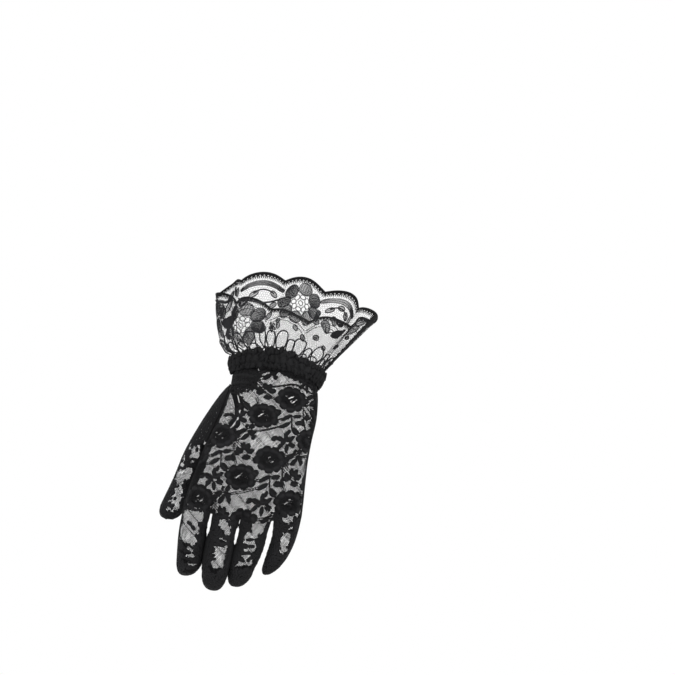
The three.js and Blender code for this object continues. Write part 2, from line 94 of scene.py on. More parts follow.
thumb = {
    "turn": 25, "tipStart": 0.72, "leaving": (19, 20), "aside": (0.8, 0.3), "drop": (34, 9),
    "away": (-1, 0.25, -0.35), "asideShare": (-3, 1.5),
}
palmEnd = palmRows[-1]
endMiddle = (palmEnd["left"] + palmEnd["right"]) / 2
endHalf = (palmEnd["right"] - palmEnd["left"]) / 2
flank = math.radians(wall["flank"])
# A height of next to nothing, whose sign says to which face of the hand a place belongs.
nearZero = 1e-6


def readTable(rows, column, at):
    # A cubic curve through the rows, whose slope at a row is that between its neighbours.
    places = np.array([row["at"] for row in rows], float)
    values = np.array([row[column] for row in rows], float)
    last = len(rows) - 1
    before, after = np.maximum(np.arange(last + 1) - 1, 0), np.minimum(np.arange(last + 1) + 1, last)
    slopes = (values[after] - values[before]) / (places[after] - places[before])
    i = np.clip(np.searchsorted(places, at, side="right") - 1, 0, last - 1)
    span = places[i + 1] - places[i]
    t = np.clip((at - places[i]) / span, 0, 1)
    rise, leaving, arriving = values[i + 1] - values[i], slopes[i] * span, slopes[i + 1] * span
    bend = 3 * rise - 2 * leaving - arriving + t * (leaving + arriving - 2 * rise)
    return values[i] + t * (leaving + t * bend)


def smooth(x, low, high):
    t = np.clip((x - low) / (high - low), 0, 1)
    return t * t * (3 - 2 * t)


def mix(a, b, share):
    return a + (b - a) * share


def signedPower(value, power):
    return np.sign(value) * np.abs(value) ** power


def stack(x, y, z):
    return np.stack(np.broadcast_arrays(x, y, z), axis=-1).astype(float)


def unit(vectors):
    return vectors / np.maximum(np.linalg.norm(vectors, axis=-1, keepdims=True), 1e-9)


def runningSum(steps, axis):
    # Sum so far before each step and after the last one.
    return np.concatenate([np.zeros_like(np.take(steps, [0], axis)), np.cumsum(steps, axis)], axis)


def lengthsAlong(points, axis):
    return runningSum(np.linalg.norm(np.diff(points, axis=axis), axis=-1), axis)


def sectionHeight(s):
    # Superellipse: height = (1 - |s|^p)^(1/p).
    return np.maximum(1 - np.abs(s) ** wall["power"], 0) ** (1 / wall["power"])


def powers(phi, power):
    # Signed powers of sine and cosine: places round a superellipse, or its directions outward.
    return signedPower(np.sin(phi), power), signedPower(np.cos(phi), power)


def seamRise(share):
    return wall["seamDip"] * share * share + wall["seamTop"]


def rootDepth(x):
    s = (x - endMiddle) / endHalf
    return palmEnd["halfDepth"] * (1 - knuckles["thinning"] * s * s)


def rootPoint(x, height, rise):
    # Ring of the finger roots: depth times height off the arched middle line, level from the root line.
    s = (x - endMiddle) / endHalf
    y = palmEnd["centre"] + knuckles["arch"] * s * s - rootDepth(x) * height
    return stack(x, y, readTable(rootLine, "level", x) + rise)


def palmPoint(at, rootX, height, rise, hole):
    # Palm: superellipse sections down the hand that turn into the root ring, with folds below the band.
    face = np.where(np.asarray(height) < 0, -1.0, 1.0)
    left, right, centre, halfDepth = (
        readTable(palmRows, c, at) for c in ("left", "right", "centre", "halfDepth")
    )
    halfWidth = (right - left) / 2
    plain = (rootX - endMiddle) / endHalf
    t = (at - thumbHole["start"]) / (thumbHole["end"] - thumbHole["start"])
    s = plain + hole * np.where((t > 0) & (t < 1), np.sin(np.pi * t), 0) * (1 - plain) / 2
    x = (left + right) / 2 + halfWidth * s
    blend = smooth(at, knuckles["blend"], 1)
    depth = mix(halfDepth * sectionHeight(s), rootDepth(rootX) * np.abs(height), blend)
    y = centre + knuckles["arch"] * s * s * at - face * depth
    ringRise = seamRise(y / palmRows[0]["halfDepth"]) * (1 - at) ** 2
    z = mix(wall["handTop"], readTable(rootLine, "level", rootX) + rise, at) + ringRise
    power = wall["power"] - 1
    outward = stack(signedPower(s, power) / halfWidth, -face * sectionHeight(s) ** power / halfDepth, 0)
    outward = unit(outward)
    reach = np.maximum(1 - s * s, 0)
    fold = (face > 0) * sum(
        f["height"] * reach * np.exp(-(((at - f["at"] - f["bow"] * s * s) / f["spread"]) ** 2))
        for f in wristFolds
    )
    return stack(x, y, z) + outward * fold[..., None], outward


def rootShape(k, phi):
    # Closed sides keep the superellipse; open sides run straight to the strip between the fingers.
    closed = np.where(np.sin(phi) < 0, k == 0, k == lastFinger)
    across, height = powers(phi, 2 / wall["power"])
    straight = np.clip(np.sin(phi) / math.sin(flank), -1, 1)
    return np.where(closed, across, straight), np.where(closed, height, np.cos(phi))


def tipRound(along, start):
    t = np.maximum((along - start) / (1 - start), 0)
    return sectionHeight(t), t ** 2


def fingerPoint(k, along, phi):
    # Finger: superellipse rings on a centre line that bends evenly, blended from the root ring.
    finger = fingers[k]
    along, phi = np.broadcast_arrays(np.asarray(along, float), np.asarray(phi, float))
    start = math.radians(finger["start"])
    bend = math.radians(finger["end"] - finger["start"]) / finger["length"]
    turn = start + bend * finger["length"] * along
    section = finger["sections"][0]
    root = rootPoint(np.array(section["middle"]), 0, 0)
    middle, halfWidth, halfDepth = (
        readTable(finger["sections"], c, along) for c in ("middle", "halfWidth", "halfDepth")
    )
    y = root[1] + (math.cos(start) - np.cos(turn)) / bend
    z = root[2] - (np.sin(turn) - math.sin(start)) / bend
    centre = stack(middle, y, z)
    onward, back = stack(0, np.sin(turn), -np.cos(turn)), stack(0, -np.cos(turn), -np.sin(turn))
    size, slope = tipRound(along, fingerTips["start"])
    across, height = powers(phi, 2 / wall["power"])
    own = centre + back * (halfDepth * size * height)[..., None]
    own[..., 0] += halfWidth * size * across
    across, height = rootShape(k, phi)
    carried = centre + rootPoint(section["middle"] + section["halfWidth"] * across, height, 0) - root
    point = mix(carried, own, smooth(along, 0, knuckles["fingerBlend"])[..., None])
    slant = finger["slant"] * np.sin(phi) * size * smooth(along, fingerTips["slantFrom"], 1)
    side, up = powers(phi, 2 - 2 / wall["power"])
    side, up = side / halfWidth, up / halfDepth
    long = np.maximum(np.hypot(side, up), 1e-9)
    outward = back * (up / long)[..., None] + stack(side / long, 0, 0)
    return point - onward * slant[..., None], unit(mix(outward, onward, slope[..., None]))


def tipSteps(tail, even, closing):
    # Shares of a length: even steps, and a tail of steps that close in on the tip.
    turn = np.linspace(0, np.pi / 2, closing)[1:]
    return np.concatenate([np.linspace(0, 1 - tail, even), 1 - tail * np.cos(turn)])


def panelReach(along):
    return np.radians(mix(wall["flank"], 90, smooth(along, *wall["flankEnds"])))


def facePhi(k, along, share):
    # Angles across one face of a finger, out to its seams, or to the side where the hand is closed.
    reach = panelReach(along)
    closed = np.full_like(reach, np.pi / 2)
    return mix(-(reach if k else closed), reach if k < lastFinger else closed, share)


def webPlace(gap, bow):
    section = fingers[gap]["sections"][0]
    x = section["middle"] + section["halfWidth"] + wall["webWidth"] / 2 * (1 - np.cos(bow))
    return x, wall["webWidth"] / 2 * np.sin(bow)


def thumbRing(at, turn):
    # Thumb: ellipses on a slanted centre line, rounded at the tip.
    inward = math.radians(thumb["turn"])
    inner = np.array([math.cos(inward), -math.sin(inward), 0])
    side = np.array([math.sin(inward), math.cos(inward), 0])
    size, slope = tipRound(at, thumb["tipStart"])
    x, y, z, halfWidth, halfDepth = (
        readTable(thumbRows, c, at) for c in ("x", "y", "z", "halfWidth", "halfDepth")
    )
    outward = inner * np.cos(turn)[..., None] + side * np.sin(turn)[..., None]
    point = stack(x, y, z) + inner * (halfWidth * size * np.cos(turn))[..., None]
    point = point + side * (halfDepth * size * np.sin(turn))[..., None]
    return point, unit(mix(outward, np.array([0, 0, -1.0]), slope[..., None]))


def thumbSkirt(t, turn):
    # Skirt of the thumb: a cubic from the edge of the hole to the thumb's first ring.
    reach = (thumbHole["end"] - thumbHole["start"]) / 2
    at = thumbHole["start"] + reach + reach * thumbHole["sewnIn"] * np.cos(turn)
    palm, back = (thumbHole[face] - thumbHole[f"{face}Inset"] for face in ("palm", "back"))
    onPalm = np.sin(turn) > 0
    height, hole = np.where(onPalm, -nearZero, nearZero), np.where(onPalm, palm, back)
    startPoint, startOut = palmPoint(at, palmEnd["left"], height, 0, hole)
    endPoint, endOut = thumbRing(np.zeros_like(turn), turn)
    upper = (1 + np.cos(turn)) / 2
    leaving, aside, drop = (mix(*thumb[key], upper) for key in ("leaving", "aside", "drop"))
    away = np.array(thumb["away"]) * leaving[..., None]
    down = stack(thumb["asideShare"][0] * aside, thumb["asideShare"][1] * aside, -drop)
    t = np.asarray(t, float)[..., None]
    point = startPoint * (2 * t ** 3 - 3 * t ** 2 + 1) + away * (t ** 3 - 2 * t ** 2 + t)
    point = point + endPoint * (3 * t ** 2 - 2 * t ** 3) + down * (t ** 3 - t ** 2)
    return point, unit(mix(startOut, endOut, t))


# Meshes: a part is its points in millimetres, its quads as corner numbers, and its places on flat cloth

def addMesh(name, parts, material):
    points, quads, uv = zip(*parts)
    starts = np.cumsum([0] + [len(some) for some in points])
    quads = np.concatenate([some + start for some, start in zip(quads, starts)])
    points, uv = np.concatenate(points), np.concatenate(uv)
    mesh = bpy.data.meshes.new(name)
    mesh.vertices.add(len(points))
    mesh.vertices.foreach_set("co", (points / 1000).ravel())
    mesh.loops.add(quads.size)
    mesh.loops.foreach_set("vertex_index", quads.ravel())
    mesh.polygons.add(len(quads))
    mesh.polygons.foreach_set("loop_start", np.arange(len(quads)) * 4)
    mesh.update(calc_edges=True)
    mesh.polygons.foreach_set("use_smooth", np.ones(len(quads), bool))
    layer = mesh.uv_layers.new(name="cloth")
    layer.data.foreach_set("uv", (uv[quads.ravel()] / 1000).ravel())
    mesh.validate()
    mesh.materials.append(material)
    piece = bpy.data.objects.new(name, mesh)
    bpy.context.scene.collection.objects.link(piece)
    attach(piece, "root")
    print(f"{name}: {2 * len(quads)} triangles")
    return piece


def gridFaces(rows, columns, closedRows=False, closedColumns=False):
    # Corner numbers of a grid's quads; the faces point along (down the rows) x (along the columns).
    i = np.arange(rows if closedRows else rows - 1)
    j = np.arange(columns if closedColumns else columns - 1)
    i, j = np.meshgrid(i, j, indexing="ij")
    this, below, right = i * columns, (i + 1) % rows * columns, (j + 1) % columns
    return np.stack([this + j, below + j, below + right, this + right], -1).reshape(-1, 4)


def tubes(points, normals, radius, sides=3, closed=False):
    # Threads: a ring of points round each path, point + r(cos a * side + sin a * upward).
    # points and normals are (threads, steps, 3).
    threads, steps = points.shape[:2]
    if closed:
        tangent = unit(np.roll(points, -1, axis=1) - np.roll(points, 1, axis=1))
    else:
        tangent = unit(np.gradient(points, axis=1))
    side = unit(np.cross(normals, tangent))
    upward = unit(np.cross(tangent, side))
    angle = np.pi / 2 + 2 * np.pi * np.arange(sides) / sides
    ring = np.cos(angle)[:, None] * side[:, :, None] + np.sin(angle)[:, None] * upward[:, :, None]
    body = (points[:, :, None] + radius * ring).reshape(-1, 3)
    quads = gridFaces(steps, sides, closedRows=closed, closedColumns=True)
    quads = quads[None] + (np.arange(threads) * steps * sides)[:, None, None]
    uv = np.stack(np.broadcast_arrays(lengthsAlong(points, 1)[..., None], np.arange(sides) * 0.2), -1)
    return body, quads.reshape(-1, 4)[:, ::-1], uv.reshape(-1, 2)


def cord(points, outward, radius, sides=6, closed=False):
    return tubes(points[None], outward[None], radius, sides, closed)


def slab(points, normals, thickness):
    # A cloth strip with its thickness: a grid moved half out and half in, closed round its edge.
    rows, columns = points.shape[:2]
    count = rows * columns
    top, bottom = points + normals * thickness / 2, points - normals * thickness / 2
    turned = np.cross(points[1:, :-1] - points[:-1, :-1], points[:-1, 1:] - points[:-1, :-1])
    grid = gridFaces(rows, columns)
    n = np.arange(count).reshape(rows, columns)
    rim = np.concatenate([n[0, :-1], n[:-1, -1], n[-1, :0:-1], n[:0:-1, 0]])
    ahead = np.roll(rim, -1)
    sides = np.stack([rim, ahead, ahead + count, rim + count], 1)
    quads = np.concatenate([grid, grid[:, ::-1] + count, sides])
    if (turned * normals[:-1, :-1]).sum() <= 0:
        quads = quads[:, ::-1]
    uv = np.stack([lengthsAlong(points, 1), lengthsAlong(points, 0)], -1).reshape(-1, 2)
    return np.concatenate([top.reshape(-1, 3), bottom.reshape(-1, 3)]), quads, np.concatenate([uv, uv])


# Charts carry flat lace onto a surface

charting = {
    "step": 0.5, "perFinger": 33, "perWeb": 7, "palmSteps": 141, "fingerSteps": (0.2, 50, 26),
    "levelFrom": 0.05, "levelTo": 0.5, "fingersBelow": 85, "edgeSlack": 0.01, "insideFrom": 0.5,
}


def makeChart(points, normals, across, down):
    # A grid over flat cloth, across by down: each column is read at even distances down it,
    # and then each row at even distances across it.
    step, slack, columns = charting["step"], charting["edgeSlack"], points.shape[1]
    vs = np.arange(down.min(), down.max() + step, step)
    us = np.arange(across.min(), across.max() + step, step)
    values = np.concatenate([points, normals, across[..., None]], axis=-1)
    byColumn, inside = np.empty((len(vs), columns, 7)), np.empty((len(vs), columns))
    for j in range(columns):
        for c in range(7):
            byColumn[:, j, c] = np.interp(vs, down[:, j], values[:, j, c])
        inside[:, j] = (vs >= down[0, j] - slack) & (vs <= down[-1, j] + slack)
    grid = np.empty((len(vs), len(us), 7))
    for i in range(len(vs)):
        row = byColumn[i, :, 6]
        for c in range(6):
            grid[i, :, c] = np.interp(us, row, byColumn[i, :, c])
        grid[i, :, 6] = np.interp(us, row, inside[i]) * (us >= row[0]) * (us <= row[-1])
    edges = byColumn[:, 0, 6], byColumn[:, -1, 6]
    return {"u0": us[0], "v0": vs[0], "v1": vs[-1], "grid": grid, "levels": vs, "edges": edges}


def lookUp(chart, u, v):
    # Bilinear reading of a chart: point, outward direction and how far inside the cloth it is.
    grid = chart["grid"]
    rows, columns = grid.shape[:2]
    down, across = (v - chart["v0"]) / charting["step"], (u - chart["u0"]) / charting["step"]
    atRow, atColumn = np.clip(down, 0, rows - 1.001), np.clip(across, 0, columns - 1.001)
    i, j = atRow.astype(int), atColumn.astype(int)
    a, b = (atRow - i)[..., None], (atColumn - j)[..., None]
    value = mix(mix(grid[i, j], grid[i, j + 1], b), mix(grid[i + 1, j], grid[i + 1, j + 1], b), a)
    far = (down < 0) | (down > rows) | (across < 0) | (across > columns)
    return value[..., :3], unit(value[..., 3:6]), np.where(far, 0, value[..., 6])


def arcLengths(points, reference, leftOut):
    # Distance along each row from its reference column, but for what goes in the direction left out.
    step = np.diff(points, axis=1)
    mean = (leftOut[:, 1:] + leftOut[:, :-1]) / 2
    step = step - mean * (step * mean).sum(-1, keepdims=True)
    total = runningSum(np.linalg.norm(step, axis=-1), 1)
    return total - total[:, reference:reference + 1]


def panelCharts(face):
    # The palm or back of the hand with its four finger faces, each laid out flat.
    count, shares = charting["perFinger"], np.linspace(-1, 1, charting["perFinger"])
    ring, starts, ranges = [], [], []
    for k, finger in enumerate(fingers):
        section = finger["sections"][0]
        phi = np.linspace(-(flank if k else math.pi / 2), flank if k < lastFinger else math.pi / 2, count)
        across, height = rootShape(k, phi)
        starts.append(sum(len(part[0]) for part in ring))
        x = section["middle"] + section["halfWidth"] * across
        ring.append((x, np.maximum(height, nearZero), np.zeros(count)))
        if k < lastFinger:
            x, rise = webPlace(k, np.linspace(0, math.pi, charting["perWeb"] + 2)[1:-1])
            ring.append((x, np.full(len(x), math.cos(flank)), rise))
    x, height, rise = (np.concatenate(rows) for rows in zip(*ring))
    at = np.linspace(0, 1, charting["palmSteps"])[:, None]
    points, outward = palmPoint(at, x, face * height, rise, thumbHole["back" if face > 0 else "palm"])
    across = arcLengths(points, 0, np.array([0, 0, -1.0]) * np.ones_like(points))
    across = across - np.array([np.interp(0, row, far) for row, far in zip(points[..., 0], across)])[:, None]
    charts = [makeChart(points + outward * wall["lift"], outward, across, -points[..., 2])]
    along = tipSteps(*charting["fingerSteps"])[:, None]
    for k, finger in enumerate(fingers):
        phi = facePhi(k, along, (shares + 1) / 2)
        fingerAt = np.broadcast_to(along, phi.shape)
        point, out = fingerPoint(k, fingerAt, phi if face > 0 else np.pi - phi)
        turn = np.radians(mix(finger["start"], finger["end"], fingerAt))
        middle = int(np.argmin(np.abs(phi[0])))
        fingerU = arcLengths(point, middle, stack(0, np.sin(turn), -np.cos(turn)))
        fingerU = fingerU + across[-1, starts[k] + middle]
        fingerV = lengthsAlong(point, 0) - point[0, :, 2]
        level = smooth(along, charting["levelFrom"], charting["levelTo"])
        fingerV = mix(fingerV, fingerV.mean(1, keepdims=True), level)
        charts.append(makeChart(point + out * wall["lift"], out, fingerU, fingerV))
        ranges.append((fingerU[0, 0], fingerU[0, -1]))
    bounds = [(left[1] + right[0]) / 2 for left, right in zip(ranges[:-1], ranges[1:])]
    return {"charts": charts, "bounds": np.array(bounds), "shift": 0.0 if face > 0 else wall["seamGap"]}


def placeOnPanel(panel, u, v, middle=None):
    # A flat place lies on the palm where that covers it, and otherwise on the finger below. A thread
    # or a leaf goes to one finger, that of its middle.
    u, v = np.broadcast_arrays(np.asarray(u, float), np.asarray(v, float))
    finger = np.broadcast_to(np.searchsorted(panel["bounds"], u if middle is None else middle), u.shape)
    point, outward, inside = lookUp(panel["charts"][0], u, v)
    for k, chart in enumerate(panel["charts"][1:]):
        pick = (inside < charting["insideFrom"]) & (finger == k) & (v > charting["fingersBelow"])
        if pick.any():
            point[pick], outward[pick], inside[pick] = lookUp(chart, u[pick], v[pick])
    return point + np.array([0, panel["shift"], 0]), outward, inside


# Lace: a thread is a pair of flat places; a leaf is a row of its place, turn, length, width, bend, how
# blunt its ends are, and half its thickness

leafForm = {"power": 2.4, "end": 0.06, "leastBend": 1e-3, "margin": 0.85}
threadForm = {"shortest": 0.05, "longest": 4, "overrun": 0.5}


def kept(test, *groups):
    # The leaves or threads whose middle passes a test.
    return [group[test(group if group.ndim == 2 else group.mean(1))] for group in groups]


def clearOf(rows, margin, group):
    return kept(lambda places: ~underLeaves(places, rows, margin), group)[0]


def links(line):
    return np.stack([line[:-1], line[1:]], 1)


def evenLine(line, step, softened, more=0):
    # Straight pieces between places, read at even distances and softened a few times.
    line = np.array(line, float)
    lengths = lengthsAlong(line, 0)
    at = np.linspace(0, lengths[-1], max(int(lengths[-1] / step) + more, 2) + 1)
    line = np.stack([np.interp(at, lengths, line[:, c]) for c in range(2)], 1)
    for _ in range(softened):
        line[1:-1] = (line[:-2] + 2 * line[1:-1] + line[2:]) / 4
    return line, at


def vineSegments(vines, step=0.8):
    return np.concatenate([links(evenLine(vine, step, 3)[0]) for vine in vines])


def honeycomb(uLow, uHigh, vLow, vHigh, pitch):
    # Net of hexagons: from each knot a thread goes down, up left and up right, to the next knots.
    side = pitch / math.sqrt(3)
    rows = np.arange(math.floor(vLow / (1.5 * side)), math.ceil(vHigh / (1.5 * side)))
    columns = np.arange(math.floor(uLow / pitch), math.ceil(uHigh / pitch) + 1)
    j, i = np.meshgrid(rows, columns, indexing="ij")
    knot = np.stack([(i + 0.5 * (j % 2)) * pitch, j * 1.5 * side], -1).reshape(-1, 1, 2)
    ends = np.array([[0, side], [pitch / 2, -side / 2], [-pitch / 2, -side / 2]])
    return np.stack([np.broadcast_to(knot, (len(knot), 3, 2)), knot + ends], 2).reshape(-1, 2, 2)


def stretched(places):
    # Hand-made unevenness: knots are drawn aside by slow waves.
    u, v = places[..., 0], places[..., 1]
    du = 0.14 * np.sin(0.9 * u + 0.35 * v) + 0.08 * np.sin(2.3 * v - 0.7 * u)
    dv = 0.12 * np.sin(0.8 * v - 0.5 * u + 1) + 0.07 * np.sin(2.1 * u + 0.6 * v)
    return np.stack([u + du, v + dv], -1)


def leafRow(u, v, turn, length, width, bend=0.0, blunt=0.55, thick=0.28):
    return [u, v, math.radians(turn), length, width, math.radians(bend), blunt, thick]


def leafRows(rows):
    return np.array([leafRow(*row) for row in rows])


def moved(rows, u, v):
    rows = np.array(rows, float)
    rows[:, :2] += u, v
    return rows


def leafWidth(s, blunt):
    full = np.maximum(1 - np.abs(s) ** leafForm["power"], 0.0) ** blunt
    return full * (1 - leafForm["end"]) + leafForm["end"]


def leafPlaces(rows, s, t):
    # Flat places in the bent frames of leaves, at shares s along and t across, each from -1 to 1.
    shape = (slice(None),) + (None,) * (np.ndim(s) - 1)
    u0, v0, turn, length, width, bend, blunt = (np.asarray(rows, float)[:, c][shape] for c in range(7))
    bend = np.where(np.abs(bend) < leafForm["leastBend"], leafForm["leastBend"], bend)
    radius, angle = length / bend, s * bend / 2
    offset = t * width / 2 * leafWidth(s, blunt)
    x, y = (radius - offset) * np.sin(angle), radius * (1 - np.cos(angle)) + offset * np.cos(angle)
    return u0 + x * np.cos(turn) - y * np.sin(turn), v0 + x * np.sin(turn) + y * np.cos(turn)


def leaves(place, rows, steps):
    # Filled leaves: a strip of given length and width bent on a circle, width falling off to its
    # ends, and swelling to its middle on both faces.
    s, t = np.linspace(-1, 1, steps)[None, :, None], np.linspace(-1, 1, 3)[None, None, :]
    u, v = leafPlaces(rows, s, t)
    point, outward, _ = place(u, v, rows[:, :1, None])
    swell = (rows[:, 7, None, None] * (1 - t ** 2) * (1 - s ** 2) ** 0.5)[..., None]
    top, bottom = point + outward * swell, (point - outward * swell)[:, 1:-1, 1:-1]
    count, rowsIn, middle = len(rows), steps - 2, steps // 2
    each = steps * 3 + rowsIn
    body = np.concatenate([top.reshape(count, -1, 3), bottom.reshape(count, -1, 3)], 1)
    upper = gridFaces(steps, 3)
    numbers = np.arange(steps * 3).reshape(steps, 3)
    numbers[1:-1, 1] = steps * 3 + np.arange(rowsIn)
    one = np.concatenate([upper, numbers.ravel()[upper][:, ::-1]])
    facing = np.cross(point[:, -1, 1] - point[:, 0, 1], point[:, middle, 2] - point[:, middle, 0])
    outside = (facing * outward[:, middle, 1]).sum(-1) > 0
    quads = np.where(outside[:, None, None], one, one[:, ::-1]) + (np.arange(count) * each)[:, None, None]
    uvTop = np.stack(np.broadcast_arrays(s * rows[:, 3, None, None] / 2, t * rows[:, 4, None, None] / 2), -1)
    uv = np.concatenate([uvTop.reshape(count, -1, 2), uvTop[:, 1:-1, 1]], 1)
    return body.reshape(-1, 3), quads.reshape(-1, 4), uv.reshape(-1, 2)


def underLeaves(places, rows, margin):
    # Which flat places lie under a leaf, worked out in the leaf's own bent frame.
    hidden = np.zeros(len(places), bool)
    for u0, v0, turn, length, width, bend, blunt, _ in rows:
        reach = length / 2 + width
        near = np.flatnonzero((np.abs(places[:, 0] - u0) < reach) & (np.abs(places[:, 1] - v0) < reach))
        if not len(near):
            continue
        du, dv = places[near, 0] - u0, places[near, 1] - v0
        x, y = du * math.cos(turn) + dv * math.sin(turn), dv * math.cos(turn) - du * math.sin(turn)
        bend = bend if abs(bend) > leafForm["leastBend"] else leafForm["leastBend"]
        radius, sign = length / bend, math.copysign(1, bend)
        s = np.arctan2(x * sign, (radius - y) * sign) / (bend / 2)
        offset = radius - sign * np.hypot(x, radius - y)
        hidden[near] |= (np.abs(s) < margin) & (np.abs(offset) < width / 2 * leafWidth(s, blunt) * margin)
    return hidden


def layThreads(place, segments, radius, lift=0.0):
    # Short threads between pairs of flat places; those that reach over the cloth's edge are left out.
    point, outward, inside = place(segments[..., 0], segments[..., 1], segments.mean(1)[:, :1])
    length = np.linalg.norm(point[:, 1] - point[:, 0], axis=1)
    right = (length > threadForm["shortest"]) & (length < threadForm["longest"] * np.median(length))
    right &= (inside > charting["insideFrom"]).all(1)
    point, outward = point[right], outward[right]
    push = unit(point[:, 1] - point[:, 0]) * radius * threadForm["overrun"]
    point = np.stack([point[:, 0] - push, point[:, 1] + push], 1) + outward * lift
    return tubes(point, outward, radius)


# Colours and finishes

def grainGroup():
    # Twisted thread seen close up: fine waves along the cloth's own map, broken by noise, as bump,
    # roughness and dye.
    group = bpy.data.node_groups.new("threadGrain", "ShaderNodeTree")
    for name, way, kind in (
        ("Scale", "INPUT", "Float"), ("Depth", "INPUT", "Float"), ("Base", "INPUT", "Color"),
        ("Color", "OUTPUT", "Color"), ("Roughness", "OUTPUT", "Float"), ("Normal", "OUTPUT", "Vector"),
    ):
        group.interface.new_socket(name=name, in_out=way, socket_type=f"NodeSocket{kind}")
    inputs, outputs, cloth, place, wave, noise, slow, both, bump, vary, shade, rough = (
        group.nodes.new(kind) for kind in (
            "NodeGroupInput", "NodeGroupOutput", "ShaderNodeUVMap", "ShaderNodeTexCoord", "ShaderNodeTexWave",
            "ShaderNodeTexNoise", "ShaderNodeTexNoise", "ShaderNodeMath", "ShaderNodeBump",
            "ShaderNodeMapRange", "ShaderNodeVectorMath", "ShaderNodeMapRange",
        )
    )
    cloth.uv_map = "cloth"
    wave.wave_type, wave.bands_direction = "BANDS", "X"
    both.operation, shade.operation = "MULTIPLY_ADD", "SCALE"
    for node, name, value in (
        (wave, "Distortion", 3.0), (wave, "Detail", 2.0), (noise, "Scale", 900), (noise, "Detail", 4),
        (slow, "Scale", 60), (both, 1, 0.6), (bump, "Distance", 0.0001),
        (vary, "From Min", 0.3), (vary, "From Max", 0.7), (vary, "To Min", 0.75), (vary, "To Max", 1.35),
        (rough, "To Min", 0.55), (rough, "To Max", 0.8),
    ):
        node.inputs[name].default_value = value
    for source, output, node, name in (
        (cloth, "UV", wave, "Vector"), (inputs, "Scale", wave, "Scale"), (place, "Object", noise, "Vector"),
        (place, "Object", slow, "Vector"), (noise, "Fac", both, 0), (wave, "Fac", both, 2),
        (both, 0, bump, "Height"), (inputs, "Depth", bump, "Strength"), (bump, "Normal", outputs, "Normal"),
        (slow, "Fac", vary, "Value"), (inputs, "Base", shade, 0), (vary, "Result", shade, "Scale"),
        (shade, "Vector", outputs, "Color"), (wave, "Fac", rough, "Value"),
        (rough, "Result", outputs, "Roughness"),
    ):
        group.links.new(source.outputs[output], node.inputs[name])
    return group


threadGrain = grainGroup()


def clothFinish(name, color, scale, depth):
    finish = bpy.data.materials.new(name)
    finish.use_nodes = True
    nodes, shader = finish.node_tree.nodes, finish.node_tree.nodes["Principled BSDF"]
    grain = nodes.new("ShaderNodeGroup")
    grain.node_tree = threadGrain
    for key, value in (("Base", (*color, 1)), ("Scale", scale), ("Depth", depth)):
        grain.inputs[key].default_value = value
    for key, name in (("Color", "Base Color"), ("Roughness", "Roughness"), ("Normal", "Normal")):
        finish.node_tree.links.new(grain.outputs[key], shader.inputs[name])
    shader.inputs["Specular IOR Level"].default_value = 0.12
    return finish


finishes = {
    "flowers": clothFinish("flowerSatin", (0.0075, 0.0075, 0.0082), 1400, 0.35),
    "net": clothFinish("netThread", (0.014, 0.014, 0.015), 900, 0.2),
    "strip": clothFinish("sideLace", (0.006, 0.006, 0.0065), 700, 0.5),
    "band": clothFinish("bandElastic", (0.006, 0.006, 0.0065), 500, 0.5),
    "cuff": clothFinish("cuffThread", (0.022, 0.022, 0.024), 900, 0.25),
}
print("finishes made")

# The lace pattern of the hand

handLace = {
    "limits": (-62, 62, -6, 178), "pitch": 1.1, "thread": 0.15, "across": (37.9, 10.3), "down": (-6.3, 44.8),
    "firstRose": (8.7, 62.8), "secondRose": (-17.4, 15.4), "roseSize": (11.6, 8.8), "roseTurns": (-76, -60),
    "secondSize": (0.98, 0.95), "sprig": (6, 4.6, 6.0, 2.7, 15), "sprigPlace": (-35.4, 20.2),
    "liner": 0.19, "linerGap": 9.1, "linerTurn": 38, "linerStep": 1.5, "linerReach": 260, "vine": 0.42,
    "lift": 0.1, "linerLift": 0.05, "stitch": 0.24, "stitchGap": 0.42, "stitchStep": 0.7, "filled": 0.72,
    "roseOpen": 1.9, "slitWide": (0.95, 1.8), "overlap": 40, "dense": (-50, 44, 97, 172), "seed": 7,
    "windowExtra": (1.4, 2.8), "steps": 7, "denseSteps": 4,
}
rose = {"lobes": 9, "out": 0.755, "uneven": 0.035, "length": 0.63, "width": 0.53, "form": (12, 0.5, 0.45)}
closeSet = {
    "across": 2.1, "down": 1.8, "scatter": 0.45, "leaf": (3.8, 2.6, 18, 0.5, 0.26), "sizes": (0.85, 1.15),
}
# Slits left open in the middles of the two roses: place from the middle, turn, length, width, bend.
roseSlits = (
    [
        (-0.6, -1.3, -32, 4.8, 0.8, 0), (1.5, 1.5, -42, 2.8, 0.7, 0), (-0.4, 1.3, -30, 1.8, 0.6, 0),
        (-3.0, 2.9, 32, 4.0, 0.7, 0), (3.4, -0.6, -20, 1.8, 0.6, 0), (-4.2, -1.6, -20, 2.2, 0.6, 0),
        (3.0, 3.0, 30, 2.2, 0.6, 0),
    ],
    [
        (-0.6, -3.2, -7, 5.4, 0.7, 50), (-1.8, -0.2, -47, 4.4, 0.8, 30), (3.2, -0.4, 23, 4.8, 0.8, 0),
        (-0.2, 1.7, 0, 2.6, 0.65, 0), (-4.2, 1.6, -30, 2.2, 0.6, 0), (2.6, 2.8, -30, 2.4, 0.55, 0),
    ],
)
